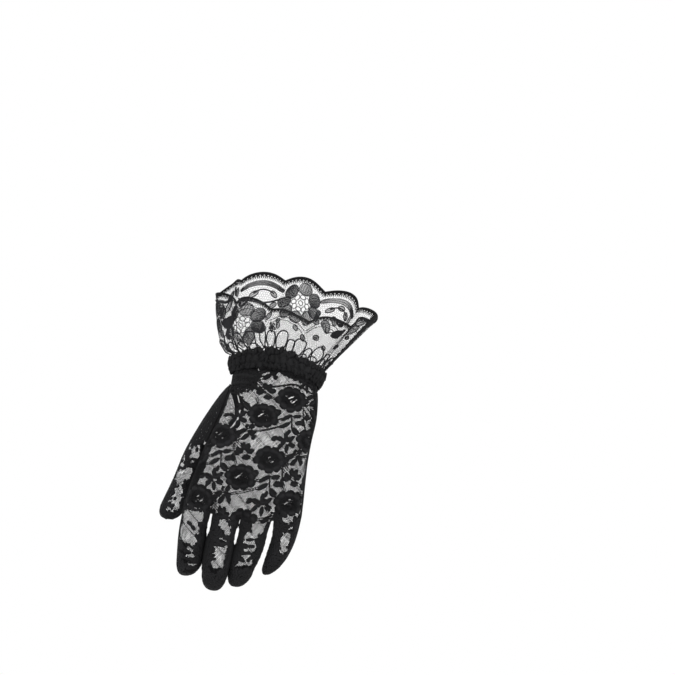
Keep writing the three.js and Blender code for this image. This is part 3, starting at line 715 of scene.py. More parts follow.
# Leaves and buds of one repeat, from its first rose: place, turn, length, width, bend.
repeatLeaves = [
    (14.0, -5.0, -34, 7.4, 3.1, 18), (17.4, -1.7, -47, 6.3, 3.4, -22), (20.3, -9.8, 8, 4.0, 3.2, 0),
    (16.8, -9.4, 10, 2.8, 2.2, 0), (21.3, -5.1, 68, 5.0, 2.4, 10), (23.2, -2.3, 60, 3.4, 2.6, 0),
    (19.6, 6.0, 21, 6.6, 3.2, 15), (15.2, 8.7, 31, 6.4, 1.9, 0), (-7.9, 11.0, 28, 5.0, 3.4, 10),
    (-0.8, 13.4, -36, 9.4, 2.5, 16), (6.7, 10.8, -10, 6.6, 2.5, 16), (9.0, 15.0, -7, 6.6, 3.3, 12),
    (-0.8, 18.8, -34, 8.6, 2.8, 14), (7.2, 21.5, 33, 7.6, 3.4, -16), (2.8, 23.0, 98, 3.4, 2.6, 0),
    (3.4, 28.4, -12, 5.6, 3.0, 10), (-17.3, 2.2, 3, 6.0, 2.7, 14), (-14.5, -2.7, -12, 4.6, 3.2, 0),
    (-17.2, -5.6, 60, 4.0, 3.2, 0), (-23.6, -0.4, 20, 4.8, 4.0, 0), (-20.6, -5.2, 70, 5.6, 2.6, 0),
    (0.0, -15.1, -17, 5.0, 3.0, 10), (6.9, -14.0, -10, 4.2, 3.3, 0), (11.3, -16.7, -22, 4.8, 3.3, 10),
    (8.2, -20.4, -17, 5.0, 1.8, 0), (-16.9, -16.2, 4, 6.4, 2.4, 12), (-26.5, -12.0, 30, 5.2, 2.6, -20),
    (-26.2, 3.6, 62, 6.0, 2.6, -18),
]
# Vines and stems of one repeat, as lines of places from its first rose.
repeatVines = [
    [(-31, -12.6), (-26.5, -15.3), (-16.9, -16.5), (-8.7, -19.1), (-1.3, -22.4), (4.5, -25.4)],
    [(9.5, 3.8), (11.9, 6.0), (19.8, 10.4), (26.7, 13.2)], [(11.6, 2.2), (15.4, 4.6), (22.0, 9.0)],
    [(9.6, -1.6), (14.0, -5.0), (19.4, -8.6)], [(12.2, 1.8), (17.4, -1.7), (20.6, -6.4)],
    [(2.4, 11.1), (4.2, 19.5), (7.2, 21.5)], [(-6.6, 16.2), (-0.8, 13.4), (4.0, 11.4)],
    [(4.6, -8.5), (5.8, -12.3), (8.6, -15.6)], [(-28, -6.6), (-26.8, -1.2), (-25.4, 3.2), (-22.4, 8.6)],
]
# Where the lace of each finger turns dense, what stays open in it, and leaves outside the repeat.
fingerStart = np.array([107.0, 108.0, 108.0, 97.5])
fingerWindows = [
    (-41, 112.5, 0, 18, 7.5), (-42.5, 121, 0, 17, 10), (-43.5, 127.5, -8, 15, 8), (-37.5, 130.8, 0, 6, 3.5),
    (-41, 134.6, 22, 8, 1.5), (-41.5, 140.6, 4, 11, 1.9), (-43, 146, -10, 5, 1.2), (-39.5, 148.6, 20, 5, 1.2),
    (-41, 156, -10, 9, 2.6), (-16, 112, 0, 5.4, 3.6), (-9.5, 109.5, 0, 2, 1.9), (-14.5, 116, 14, 9.5, 4.4),
    (-11, 119.5, -20, 4.4, 3.8), (-13.8, 125.3, 8, 5.4, 1.0), (-10, 130, 0, 2.6, 2.2), (-13, 135.3, 0, 11, 9),
    (-11.8, 140, 0, 8, 4.5), (-13.5, 144.8, -10, 10, 8), (-15.3, 149, 0, 4.5, 4), (11.3, 110, -5, 9, 5.6),
    (12.3, 114, 0, 7, 1.8), (8.3, 118.5, -5, 9, 5.2), (7.5, 123.5, 0, 9, 3), (10.3, 128.5, -10, 7, 4),
    (8, 134, 10, 5.4, 3.4), (9.5, 141.2, -24, 15, 5), (33, 101.5, -5, 7, 4), (38, 96.8, 0, 2.6, 3),
    (37, 107, 0, 2.8, 1.8), (34.4, 115.3, 80, 10, 6.2), (35.3, 122.6, 75, 8, 5.2),
]
strayLeaves = [
    (-20.5, 29, 20, 5, 3.2, 0), (-20.5, 24, -30, 4, 2.4, 0), (34.5, 43.7, 30, 9, 6.5, 0),
    (-42, 118, 20, 5.6, 2.7, 10), (-38.6, 120.6, 40, 5.2, 3.0, 0), (-34, 117, -50, 4.6, 2.8, 0),
    (8, 121, -16, 6.6, 2.7, 8), (9.5, 125.8, -12, 7.2, 2.8, 8), (8.5, 131.3, -18, 6.6, 3, 0),
    (37, 120.4, 0, 2.6, 2, 0), (-18.5, 134, 80, 5, 2.4, 0),
]
# Plain net beside the thumb's seam, where the repeat is cut away: place, turn, length, width.
wristWindows = [(-33, 26, 0, 26, 17), (-17, 20, 0, 14, 11)]
# How worn lace is drawn: apart over the knuckles, down along the fingers, and aside at one crotch.
pull = {
    "apart": 0.07, "middle": 10, "knuckles": (70, 100), "down": 0.07, "downFrom": 63, "aside": 4.0,
    "crotch": (2, 108), "spread": (15, 16),
}
# The palm's pattern lies higher than the back's: by how much at the band and the knuckles, and how
# that falls off to the sides.
palmShift = {
    "top": 5.8, "knuckles": 3.1, "length": 95, "halfWidth": 37, "fall": (1, 0.1), "tips": (135, 160),
    "atTips": 2.0,
}


def roseRows(halfWidth, halfHeight, turn):
    # Rim of a rose: round lobes on an ellipse, so close that only shallow notches part them.
    rows = []
    for k in range(rose["lobes"]):
        angle = math.radians(turn + 360 / rose["lobes"] * k)
        u, v = halfWidth * math.cos(angle), halfHeight * math.sin(angle)
        alongU, alongV = -halfWidth * math.sin(angle), halfHeight * math.cos(angle)
        out = rose["out"] + rose["uneven"] * math.sin(5 * angle)
        speed, lie = math.hypot(alongU, alongV), math.degrees(math.atan2(alongV, alongU))
        length, width = rose["length"] * speed, rose["width"] * halfWidth * halfHeight / speed
        rows.append(leafRow(out * u, out * v, lie, length, width, *rose["form"]))
    return rows


def ringStitches(halfWidth, halfHeight, slits, wide):
    # Satin stitches of a rose's middle: threads on ellipses at an even distance, open at the slits.
    segments, gap = [], handLace["stitchGap"]
    for radius in np.arange(gap / 2, halfWidth, gap):
        count = max(int(2 * math.pi * radius / handLace["stitchStep"]), 5)
        angle = np.linspace(0, 2 * np.pi, count + 1) + radius
        line = np.stack([radius * np.cos(angle), radius * halfHeight / halfWidth * np.sin(angle)], 1)
        segments.append(links(line))
    rows = leafRows((*slit[:3], slit[3] + 0.5 * wide, slit[4] * wide, slit[5]) for slit in slits)
    return clearOf(rows, 1.0, np.concatenate(segments))


def sprigRows(count, radius, length, width, first):
    # Small flower: petals that point away from its middle.
    rows = []
    for k in range(count):
        turn = first + 360 * k / count
        angle = math.radians(turn)
        rows.append(leafRow(radius * math.cos(angle), radius * math.sin(angle), turn, length, width, 12, 0.5))
    return rows


def drawn(places):
    u, v = places[..., 0], places[..., 1]
    (left, level), (wide, tall) = pull["crotch"], pull["spread"]
    near = np.exp(-((u - left) / wide) ** 2 - ((v - level) / tall) ** 2)
    aside = pull["apart"] * (u - pull["middle"]) * smooth(v, *pull["knuckles"]) - pull["aside"] * near
    return np.stack([u + aside, v + pull["down"] * np.maximum(v - pull["downFrom"], 0)], -1)


def handPattern(uLow, uHigh, vLow, vHigh, wide):
    # Both roses with their sprays, repeated over the two directions of the lace.
    size, second, over = handLace["roseSize"], handLace["secondRose"], handLace["overlap"]
    secondSize = [share * half for share, half in zip(handLace["secondSize"], size)]
    repeat = np.concatenate([
        roseRows(*size, handLace["roseTurns"][0]),
        moved(roseRows(*secondSize, handLace["roseTurns"][1]), *second),
        moved(sprigRows(*handLace["sprig"]), *handLace["sprigPlace"]), leafRows(repeatLeaves),
    ])
    filled = [handLace["filled"] * half for half in size]
    opened = [handLace["roseOpen"] * half for half in filled]
    stitched = [ringStitches(*filled, slits, wide) for slits in roseSlits]
    first, across, down = (np.array(handLace[key]) for key in ("firstRose", "across", "down"))
    rows, clear, vines, stitches = [], [], [], []
    for i in range(-4, 5):
        for j in range(-3, 6):
            start = first + i * across + j * down
            if not (uLow - over < start[0] < uHigh + over and vLow - over < start[1] < vHigh + over):
                continue
            rows.append(moved(repeat, *start))
            vines.extend([np.array(vine) + start for vine in repeatVines])
            for segments, place in zip(stitched, ((0, 0), second)):
                clear.append(leafRow(*(start + place), 0, *opened, 0, 0.5))
                stitches.append(segments + start + place)
    rows, clear = np.concatenate(rows), np.array(clear)
    rows[:, :2], clear[:, :2] = drawn(rows[:, :2]), drawn(clear[:, :2])
    return rows, clear, [drawn(vine) for vine in vines], drawn(np.concatenate(stitches))


def denseRows(uLow, uHigh, vLow, vHigh, windows, extra, seed):
    # Close-set leaves at uneven turns, with windows left open among them.
    rng, scatter = np.random.default_rng(seed), closeSet["scatter"]
    u, v = np.meshgrid(np.arange(uLow, uHigh, closeSet["across"]), np.arange(vLow, vHigh, closeSet["down"]))
    u = u + closeSet["across"] / 2 * (np.arange(len(u)) % 2)[:, None]
    places = np.stack([u.ravel(), v.ravel()], 1) + rng.uniform(-scatter, scatter, (u.size, 2))
    windows = leafRows(
        (a, b, turn, length + extra, width + extra, 0, 0.4) for a, b, turn, length, width in windows
    )
    places = clearOf(windows, 1.0, places)
    rows = np.tile(leafRow(0, 0, 0, *closeSet["leaf"]), (len(places), 1))
    rows[:, :2] = places
    rows[:, 2] = rng.uniform(0, np.pi, len(places))
    rows[:, 3:5] *= rng.uniform(*closeSet["sizes"], (len(places), 2))
    return rows


def linerSegments(uLow, uHigh, vLow, vHigh):
    # Straight threads at an even distance, aslant over the whole lace.
    turn, reach, step = math.radians(handLace["linerTurn"]), handLace["linerReach"], handLace["linerStep"]
    along, aside = np.array([math.cos(turn), math.sin(turn)]), np.array([-math.sin(turn), math.cos(turn)])
    offsets, at = np.arange(-reach, reach, handLace["linerGap"]), np.arange(-reach, reach, step)
    starts = aside * offsets[:, None, None] + along * at[None, :, None]
    segments = np.stack([starts, starts + along * step], 2).reshape(-1, 2, 2)
    return kept(lambda p: (p > (uLow, vLow)).all(1) & (p < (uHigh, vHigh)).all(1), segments)[0]


def palmRise(u, v):
    down = np.clip(v / palmShift["length"], 0, 1)
    fall = np.maximum(1 - mix(*palmShift["fall"], down) * np.abs(u / palmShift["halfWidth"]) ** 2.3, 0)
    rise = mix(palmShift["top"], palmShift["knuckles"], down ** 0.8) * fall
    return rise + palmShift["atTips"] * smooth(v, *palmShift["tips"])


def layLace(name, place, limits, filled, clear, opened, stitches, stems):
    # One piece of the woven flowers, and one of the net and the straight threads that hold them.
    motifs, covered = [], [clear]
    for rows, steps in filled:
        rows = rows[place(rows[:, 0], rows[:, 1])[2] > charting["insideFrom"]]
        motifs.append(leaves(place, rows, steps))
        covered.append(rows)
    motifs.append(layThreads(place, stitches, handLace["stitch"]))
    motifs.append(layThreads(place, stems, handLace["vine"], handLace["lift"]))
    flowers = addMesh(f"{name}_flowers", motifs, finishes["flowers"])
    net = stretched(honeycomb(*limits, handLace["pitch"]))
    net = clearOf(np.concatenate(covered), leafForm["margin"], net)
    liner = clearOf(opened, leafForm["margin"], linerSegments(*limits))
    threads = [layThreads(place, net, handLace["thread"])]
    threads.append(layThreads(place, liner, handLace["liner"], handLace["linerLift"]))
    return flowers, addMesh(f"{name}_net", threads, finishes["net"])


def makeHandLace(face):
    panel, limits = panelCharts(face), handLace["limits"]
    side, which = ("back", 0) if face > 0 else ("palm", 1)
    place = lambda u, v, middle=None: placeOnPanel(panel, u, v, middle)
    above = lambda places: places[..., 1] < fingerStart[np.searchsorted(panel["bounds"], places[..., 0])]
    rows, clear, vines, stitches = handPattern(*limits, handLace["slitWide"][which])
    windows = leafRows(wristWindows)
    rows, clear, stitches, stems = kept(
        lambda places: above(places) & ~underLeaves(places, windows, 1.0),
        rows, clear, stitches, vineSegments(vines),
    )
    dense = denseRows(*handLace["dense"], fingerWindows, handLace["windowExtra"][which], handLace["seed"])
    dense = dense[~above(dense)]
    if face > 0:
        rows = np.concatenate([rows, leafRows(strayLeaves)])
    else:
        for places in (rows, clear, dense, stitches, stems):
            places[..., 1] -= palmRise(places[..., 0], places[..., 1])
    filled = (rows, handLace["steps"]), (dense, handLace["denseSteps"])
    flowers, net = layLace(f"{side}_lace", place, limits, filled, clear, clear, stitches, stems)
    return net, panel


backNet, backPanel = makeHandLace(1)
palmNet, palmPanel = makeHandLace(-1)
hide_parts("back_panel")
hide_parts("palm_panel")
print("hand lace made")

# Seams: the cut edges turned in along each seam, the seam cords, and the dense fingertips

# Left and right are the widths of the dark turned edge on each finger, tip the length of its dark end. Near
# the wrist the palm's right edge strip widens into a dark band: partly the turned side edge, partly painted
# shadow down the hand's side.
edging = {
    "left": (0.9, 3.6, 3.6, 3.2), "right": (3.4, 2.6, 2.6, 1.6), "tip": (2.2, 13.0, 11.0, 13.0),
    "palmLeft": 2.6, "palmRight": 2.0, "thick": 0.35, "depth": 0.35, "capDepth": 0.8, "cord": 0.42,
    "ragged": 0.16, "wristShadowWide": 3.6, "wristShadowEnd": (30, 52), "step": 0.6, "palmTop": 6, "palmEnds": (97, 101),
    "tail": (0.2, 40, 14), "crotch": 9, "sideCord": 1.1, "sideFrom": 0.04, "holeEdge": 0.02, "around": 72,
}


def raggedness(v):
    return edging["ragged"] * (np.sin(0.9 * v) + 0.8 * np.sin(2.1 * v + 1) + 0.6 * np.sin(4.3 * v))


def closePoles(piece):
    # Joins the corners that meet in one point, such as those at the tip of a finger.
    body = bmesh.new()
    body.from_mesh(piece.data)
    bmesh.ops.remove_doubles(body, verts=body.verts, dist=2e-6)
    body.to_mesh(piece.data)
    body.free()


def edgeSlab(point, outward, rise, shift=0.0):
    return slab(point + outward * rise + np.array([0, shift, 0]), outward, edging["thick"])


def edgeStrip(chart, side, width, vFrom, vTo, shift=0.0):
    # A strip along a chart's edge: flat place = edge plus width times t towards the middle.
    v = np.arange(vFrom, vTo, edging["step"])
    edge, other = (np.interp(v, chart["levels"], chart["edges"][which]) for which in (side, 1 - side))
    # On the right, near the wrist, the strip widens into a dark band: partly the turned edge, partly painted
    # shadow at the hand's side.
    shadowAtWrist = (side == 1) * (1 - smooth(v, *edging["wristShadowEnd"]))
    wide = width * (1 + raggedness(v)) * (1 + edging["wristShadowWide"] * shadowAtWrist)
    reach = np.minimum(wide, np.abs(other - edge)) * (1 if side == 0 else -1)
    u = edge[:, None] + reach[:, None] * np.linspace(0, 1, 6)
    point, outward, _ = lookUp(chart, u, np.broadcast_to(v[:, None], u.shape))
    return edgeSlab(point, outward, -edging["depth"], shift)


def capSteps(start, rows):
    # From a ragged start to the pole of a tip, closer together towards the pole.
    return start + (1 - start) * np.sin(np.pi / 2 * np.linspace(0, 1, rows)[:, None]) ** 0.9


def tipCap(k, face):
    # The dense end of one face of a finger, from a ragged start to the pole of the tip.
    share = np.linspace(0, 1, 13)[None]
    dark = edging["tip"][k] / fingers[k]["length"]
    start = 1 - dark - 0.03 * (2 * share - 1) ** 2 + 0.012 * np.sin(17 * share + k)
    along = capSteps(start, 16)
    phi = facePhi(k, along, share)
    point, outward = fingerPoint(k, along, phi if face > 0 else np.pi - phi)
    rise = wall["lift"] - edging["depth"] * edging["capDepth"]
    return edgeSlab(point, outward, rise, 0 if face > 0 else wall["seamGap"])


def makeEdges():
    parts = []
    for panel, face in ((backPanel, 1), (palmPanel, -1)):
        charts, shift, top = panel["charts"], panel["shift"], edging["palmTop"]
        parts.append(edgeStrip(charts[0], 1, edging["palmRight"], top, edging["palmEnds"][0], shift))
        parts.append(edgeStrip(charts[0], 0, edging["palmLeft"], top, edging["palmEnds"][1], shift))
        for k, chart in enumerate(charts[1:]):
            for side, widths in enumerate((edging["left"], edging["right"])):
                parts.append(edgeStrip(chart, side, widths[k], chart["v0"] + 1.0, chart["v1"] - 0.5, shift))
            parts.append(tipCap(k, face))
    piece = addMesh("turned_edges", parts, finishes["strip"])
    closePoles(piece)


def crotchPath(gap, steps, share, count):
    # Down one finger's side to the crotch, round it and down the next finger's side, at shares from
    # the seam with the back to the seam with the palm.
    sides = []
    for k, at, sign in ((gap, steps[::-1, None], 1), (gap + 1, steps[:, None], -1)):
        reach = panelReach(at)
        sides.append(fingerPoint(k, at + 0 * share, sign * mix(reach, np.pi - reach, share)))
    (first, firstOut), (last, lastOut) = sides
    phi, bow = mix(flank, np.pi - flank, share), np.linspace(0, np.pi, count)[1:-1, None]
    x, rise = webPlace(gap, bow)
    web = rootPoint(x + 0 * phi, np.cos(phi) + 0 * bow, rise + 0 * phi)
    webOut = unit(stack(np.cos(bow) * np.sin(phi), -np.cos(phi) + 0 * bow, -np.sin(bow) * np.sin(phi)))
    return np.concatenate([first, web, last]), np.concatenate([firstOut, webOut, lastOut])


def makeSeamCords():
    # Cords round each crotch, down both sides of the hand but for the thumb's hole, and round that.
    parts, steps = [], tipSteps(*edging["tail"])
    for gap in range(lastFinger):
        points, outward = crotchPath(gap, steps, np.array([0.0, 1.0]), edging["crotch"])
        points = points + outward * wall["lift"]
        points[:, 1, 1] += wall["seamGap"]
        parts += [cord(points[:, face], outward[:, face], edging["cord"]) for face in (0, 1)]
    for k, sign, rootX, low, high in (
        (lastFinger, 1, palmEnd["right"], edging["sideFrom"], 1),
        (0, -1, palmEnd["left"], edging["sideFrom"], thumbHole["start"]),
        (0, -1, palmEnd["left"], thumbHole["end"], 1),
    ):
        finger, fingerOut = fingerPoint(k, steps, sign * np.pi / 2)
        at = np.linspace(low, high, max(int(70 * (high - low)), 6))
        points, outward = palmPoint(at, np.full_like(at, rootX), np.full_like(at, nearZero), 0, 0.0)
        if high == 1:
            points, outward = np.concatenate([points[:-1], finger]), np.concatenate([outward[:-1], fingerOut])
        points = points + outward * wall["lift"] + np.array([0, wall["seamGap"] / 2, 0])
        parts.append(cord(points, outward, edging["cord"] * edging["sideCord"]))
    turns = np.linspace(0, 2 * np.pi, edging["around"], endpoint=False)
    hole, holeOut = thumbSkirt(np.full_like(turns, edging["holeEdge"]), turns)
    parts.append(cord(hole, holeOut, edging["cord"], closed=True))
    piece = addMesh("seam_cords", parts, finishes["strip"])


# The strips sewn between the fingers

sideStrip = {"steps": 40, "columns": 12, "crotch": 11, "thick": 0.5, "inset": 0.2}
# The gathers of each strip: their full height, whether they have it at the start, the levels over
# which they lose it (-1) or gain it (1), and those over which they end.
stripSwells = [
    (0.8, 0, [(1, 120, 125)], (144, 151)), (1.15, 1, [(-1, 112, 116), (1, 123, 127)], (146, 153)),
    (0.35, 0, [(1, 110, 125)], (132, 140)),
]


def stripSwell(gap, level):
    # How far a strip's gathers stand out: fingers side by side touch, but for a short slit between them.
    full, share, changes, ends = stripSwells[gap]
    for sign, low, high in changes:
        share = share + sign * smooth(level, low, high)
    wave = 0.12 * np.sin(1.3 * level + gap) + 0.1 * np.sin(2.9 * level)
    return full * share * (1 - smooth(level, *ends)) + wave


def makeFourchettes():
    # Each strip runs down one finger's side, over the crotch and down the other's.
    steps = np.linspace(0, fingerTips["stripEnd"], sideStrip["steps"])
    share = np.linspace(0, 1, sideStrip["columns"])
    for gap in range(lastFinger):
        name = f"{fingers[gap]['name']}_{fingers[gap + 1]['name']}"
        points, outward = crotchPath(gap, steps, share, sideStrip["crotch"])
        swell = stripSwell(gap, -points[..., 2]) * np.sin(np.pi * share) ** 0.6
        points = points + outward * (wall["lift"] - sideStrip["inset"] + swell)[..., None]
        strip = slab(points, outward, sideStrip["thick"])
        piece = addMesh(f"side_strip_{name}", [strip], finishes["strip"])
        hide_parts(f"fourchette_{name}")


# Bunched lace just below the band: half-width and line of each fold on the flat lace, and a thick patch. The
# dark fold strips are partly doubled lace and partly painted shade of the folds.
bunchedFolds = [
    (0.5, [
        (-18, 2.5), (-12.5, 6), (-9, 6.5), (-1.5, 3), (0.5, 1), (6, -0.5), (16, -1.5), (22, 0.6), (28, 2.6),
    ]),
    (0.6, [(-9, 14), (0.5, 12), (12.5, 7.5), (17.5, 7), (26.5, 9.5), (34, 10.5)]),
    (1.0, [(-16.5, 11.5), (-12.5, 14.5), (-7, 17)]), (1.6, [(-33.5, 8.5), (-22, 7.0), (-13.5, 8)]),
    (1.4, [(-32.5, 15), (-24, 13.0), (-16, 12.5)]), (0.5, [(-30.5, 21), (-23.5, 21.5), (-18, 26), (-13, 27)]),
]
bunchedPatch = {
    "leaf": (-24, 11.5, 0, 25, 17, 0, 0.5), "limits": (-38, -10, 3.8, 21), "seed": 3, "thick": 0.7,
}
foldForm = {
    "step": 0.7, "softened": 6, "foot": 0.15, "height": 0.9, "widest": 1.2, "leastWidth": 0.12, "thick": 0.3,
}


def makeFolds():
    # Each fold is a narrow strip, ragged and tapered, whose middle stands up by (1 - t^2) times height.
    parts, t = [], np.linspace(-1, 1, 5)
    for halfWidth, line in bunchedFolds:
        middle, at = evenLine(line, foldForm["step"], foldForm["softened"], 1)
        along = unit(np.gradient(middle, axis=0))
        s = np.linspace(-1, 1, len(at))
        ragged = 1 + 0.25 * np.sin(1.9 * at) + 0.18 * np.sin(4.1 * at + 1)
        wide = halfWidth * (1 - np.abs(s) ** 4) ** 0.5 * ragged + foldForm["leastWidth"]
        aside = np.stack([-along[:, 1], along[:, 0]], 1)
        places = middle[:, None] + aside[:, None] * (wide[:, None] * t)[..., None]
        point, outward, _ = placeOnPanel(backPanel, places[..., 0], places[..., 1])
        rise = foldForm["foot"] + foldForm["height"] * (1 - t ** 2) * min(halfWidth, foldForm["widest"])
        # The fold's dark strip: partly doubled lace, partly painted shade of the fold.
        parts.append(slab(point + outward * rise[None, :, None], outward, foldForm["thick"]))
    patch = denseRows(*bunchedPatch["limits"], [], 0, bunchedPatch["seed"])
    patch = patch[underLeaves(patch, [leafRow(*bunchedPatch["leaf"])], 1.0)]
    patch[:, 7] = bunchedPatch["thick"]
    place = lambda u, v, middle: placeOnPanel(backPanel, u, v, middle)
    parts.append(leaves(place, patch, handLace["denseSteps"]))
    piece = addMesh("bunched_folds", parts, finishes["strip"])


makeEdges()
makeSeamCords()
makeFourchettes()
makeFolds()
print("seams and side strips made")

# The thumb

thumbLace = {
    "seamWidth": 3.4, "outerWidth": 1.2, "outerSeam": 3, "tip": 0.88, "firstRing": 100,
    "mirror": (8, -2.2), "mirrorExtra": 3, "windowExtra": 0.9, "slitWide": 1.7, "shift": (30.0, 52.0),
    "outer": (1.0, 33.0), "outerOnSkirt": 90, "skirtEnd": 84, "hem": 0.12, "limits": (-70, 70, 28, 165),
    "reach": (-90, 90, 0, 170), "seed": 11, "around": 72, "rings": (0.28, 44, 24), "skirtRows": 39,
    "seamFrom": 30, "seamTo": 6,
}
# What stays open in the dense lace of the thumb's outer side: place, turn, length, width.
thumbWindows = [
    (18, 92.5, 80, 9, 7), (11.2, 88.5, 60, 5.5, 2), (10.3, 97.9, 60, 5, 3), (10, 103.2, 15, 5, 2.4),
    (14.5, 110.5, -28, 13, 9.5), (17.6, 107.6, 10, 7, 6), (14.5, 116, 0, 5, 4), (17, 122.8, -10, 6.8, 5),
    (18, 127, 8, 7, 1.4), (19.5, 129.4, 20, 4.6, 1), (16.5, 131, 10, 7.5, 2.4), (19.6, 134, 80, 6.4, 2.8),
    (15, 137.4, 0, 5.4, 2.8), (18.5, 100, 30, 3, 1.4),
]
thumbLeaves = [
    (13.5, 105.6, -20, 5, 3, 0), (18.6, 90.5, 70, 4.4, 2.2, 0), (15, 134.3, 0, 4.6, 2.8, 0),
    (14.6, 94.6, -60, 3.4, 2, 0),
]


def thumbChart():
    # Below the skirt every ring is level; on the skirt each column has its own length, up to the hole.
    rows, around = thumbLace["skirtRows"], thumbLace["around"]
    t, at = np.linspace(0, 1, rows + 1)[:-1, None], tipSteps(*thumbLace["rings"])[:, None]
    turns = np.linspace(0, 2 * np.pi, around + 1)[None]
    skirt, skirtOut = thumbSkirt(*np.broadcast_arrays(t, turns))
    ring, ringOut = thumbRing(*np.broadcast_arrays(at, turns))
    points, outward = np.concatenate([skirt, ring]), np.concatenate([skirtOut, ringOut])
    across = arcLengths(points, around // 2, unit(np.gradient(points, axis=0)))
    down = lengthsAlong(points, 0)
    down = down - down[rows]
    down[rows:] = down[rows:].mean(1, keepdims=True)
    return makeChart(points + outward * wall["lift"], outward, across, down + thumbLace["firstRing"])


def thumbCap():
    share = np.linspace(0, 1, 33)[None]
    start = thumbLace["tip"] + 0.012 * np.sin(4 * np.pi * share) + 0.01 * np.sin(10 * np.pi * share)
    along = capSteps(start, 14)
    point, outward = thumbRing(along, 2 * np.pi * share + 0 * along)
    return edgeSlab(point, outward, wall["lift"] - edging["depth"] * edging["capDepth"])


def makeThumb():
    # The thumb's outer side is dense with open windows; the other side has the roses of the hand, and
    # plain net on the skirt and behind the windows.
    chart, limits, skirtEnd = thumbChart(), thumbLace["limits"], thumbLace["skirtEnd"]
    place = lambda u, v, middle=None: lookUp(chart, u, v)
    (mirrorU, mirrorV), extra = thumbLace["mirror"], thumbLace["mirrorExtra"]
    windows = [(mirrorU - u, v + mirrorV, -turn, a + extra, b + extra) for u, v, turn, a, b in thumbWindows]
    behind = leafRows(windows)
    dense = denseRows(*limits, thumbWindows + windows, thumbLace["windowExtra"], thumbLace["seed"])
    rows, clear, vines, stitches = handPattern(*thumbLace["reach"], thumbLace["slitWide"])
    stems = vineSegments(vines)
    for places in (rows, clear, stems, stitches):
        places[..., :2] += thumbLace["shift"]
    low, high = thumbLace["outer"]

    def outer(places):
        edge = np.where(places[:, 1] < skirtEnd, thumbLace["outerOnSkirt"], high)
        return (places[:, 0] > low) & (places[:, 0] < edge)

    inner = lambda places: ~outer(places) & (places[:, 1] > skirtEnd)
    seen = lambda places: inner(places) & ~underLeaves(places, behind, 1.0)
    rows, stitches, stems = kept(seen, rows, stitches, stems)
    rows = np.concatenate([rows, leafRows(thumbLeaves)])
    clear, dense = clear[inner(clear)], dense[outer(dense)]
    filled = (dense, handLace["denseSteps"]), (rows, handLace["steps"])
    flowers, net = layLace("thumb_lace", place, limits, filled, clear, [], stitches, stems)
    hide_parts("thumb")
    end = chart["v1"] - thumbLace["seamTo"]
    parts = [edgeStrip(chart, side, thumbLace["seamWidth"], skirtEnd, end) for side in (0, 1)]
    parts.append(thumbCap())
    v = np.arange(chart["v0"] + thumbLace["seamFrom"], end, 1.0)[:, None]
    u = thumbLace["outerSeam"] + thumbLace["outerWidth"] * np.linspace(-1, 1, 5)[None] + 0 * v
    point, outward, _ = lookUp(chart, u, v + 0 * u)
    parts.append(edgeSlab(point, outward, -edging["depth"]))
    t, turns = np.linspace(0, thumbLace["hem"], 4)[:, None], np.linspace(0, 2 * np.pi, 97)[None]
    parts.append(edgeSlab(*thumbSkirt(*np.broadcast_arrays(t, turns)), wall["lift"] - edging["depth"]))
    edges = addMesh("thumb_turned_edges", parts, finishes["strip"])
    closePoles(edges)


makeThumb()
print("thumb made")

# The gathered band and its small frill

band = {
    "halfWidth": 33.9, "halfDepth": 23.6, "height": 13, "thick": 1.9, "pleats": 46, "pleatDepth": 1.3,
    "stitchLevels": (-0.26, 0.22), "pinch": 0.5, "pinchSpread": 0.05, "girth": 182, "taper": 2.2,
    "raised": ((1.15, 0.75, 3.3), (3.5, 1.2, 3.0)), "lowered": (-1.6, 0.7, 2.2), "around": 640, "up": 25,
    "lean": 0.12, "leanFrom": 5, "frillLift": 0.1, "uvScale": 30, "tallTufts": (-0.14, 0.32),
    "bareSides": 0.75, "scatter": 0.45, "seed": 5,
}
# Tufts of the band: where, count, level, spread of the level, length, width, spread of the turn.
tuftRows = [
    ("top", 84, 4.6, 1.2, 5.0, 3.0, 30), ("edge", 56, -5.0, 0.9, 3.6, 2.6, 35),
    ("face", 230, 0.0, 5.0, 3.6, 1.5, 40),
]


def ringPlace(turn, halfWidth, halfDepth, level):
    return stack(halfWidth * np.sin(turn), -halfDepth * np.cos(turn), level + seamRise(np.cos(turn)))


def beside(turn, middle, spread):
    around = np.arctan2(np.sin(turn - middle), np.cos(turn - middle))
    return np.exp(-((around / spread) ** 2))


def bandLevel(turn, t):
    # The lower edge is drawn up on the little finger's side and at the rear, and the top is drawn
    # down on the thumb's side.
    rise = sum(height * beside(turn, middle, spread) for middle, spread, height in band["raised"])
    drop = band["lowered"][2] * beside(turn, *band["lowered"][:2])
    return band["height"] * t + rise * (0.8 - 0.4 * t) - drop * (t + 0.5)


def bandTaper(turn, t):
    # Towards its lower edge the band closes on the wrist at both sides.
    return band["taper"] * smooth(-t, -0.15, 0.5) * np.sin(turn) ** 2


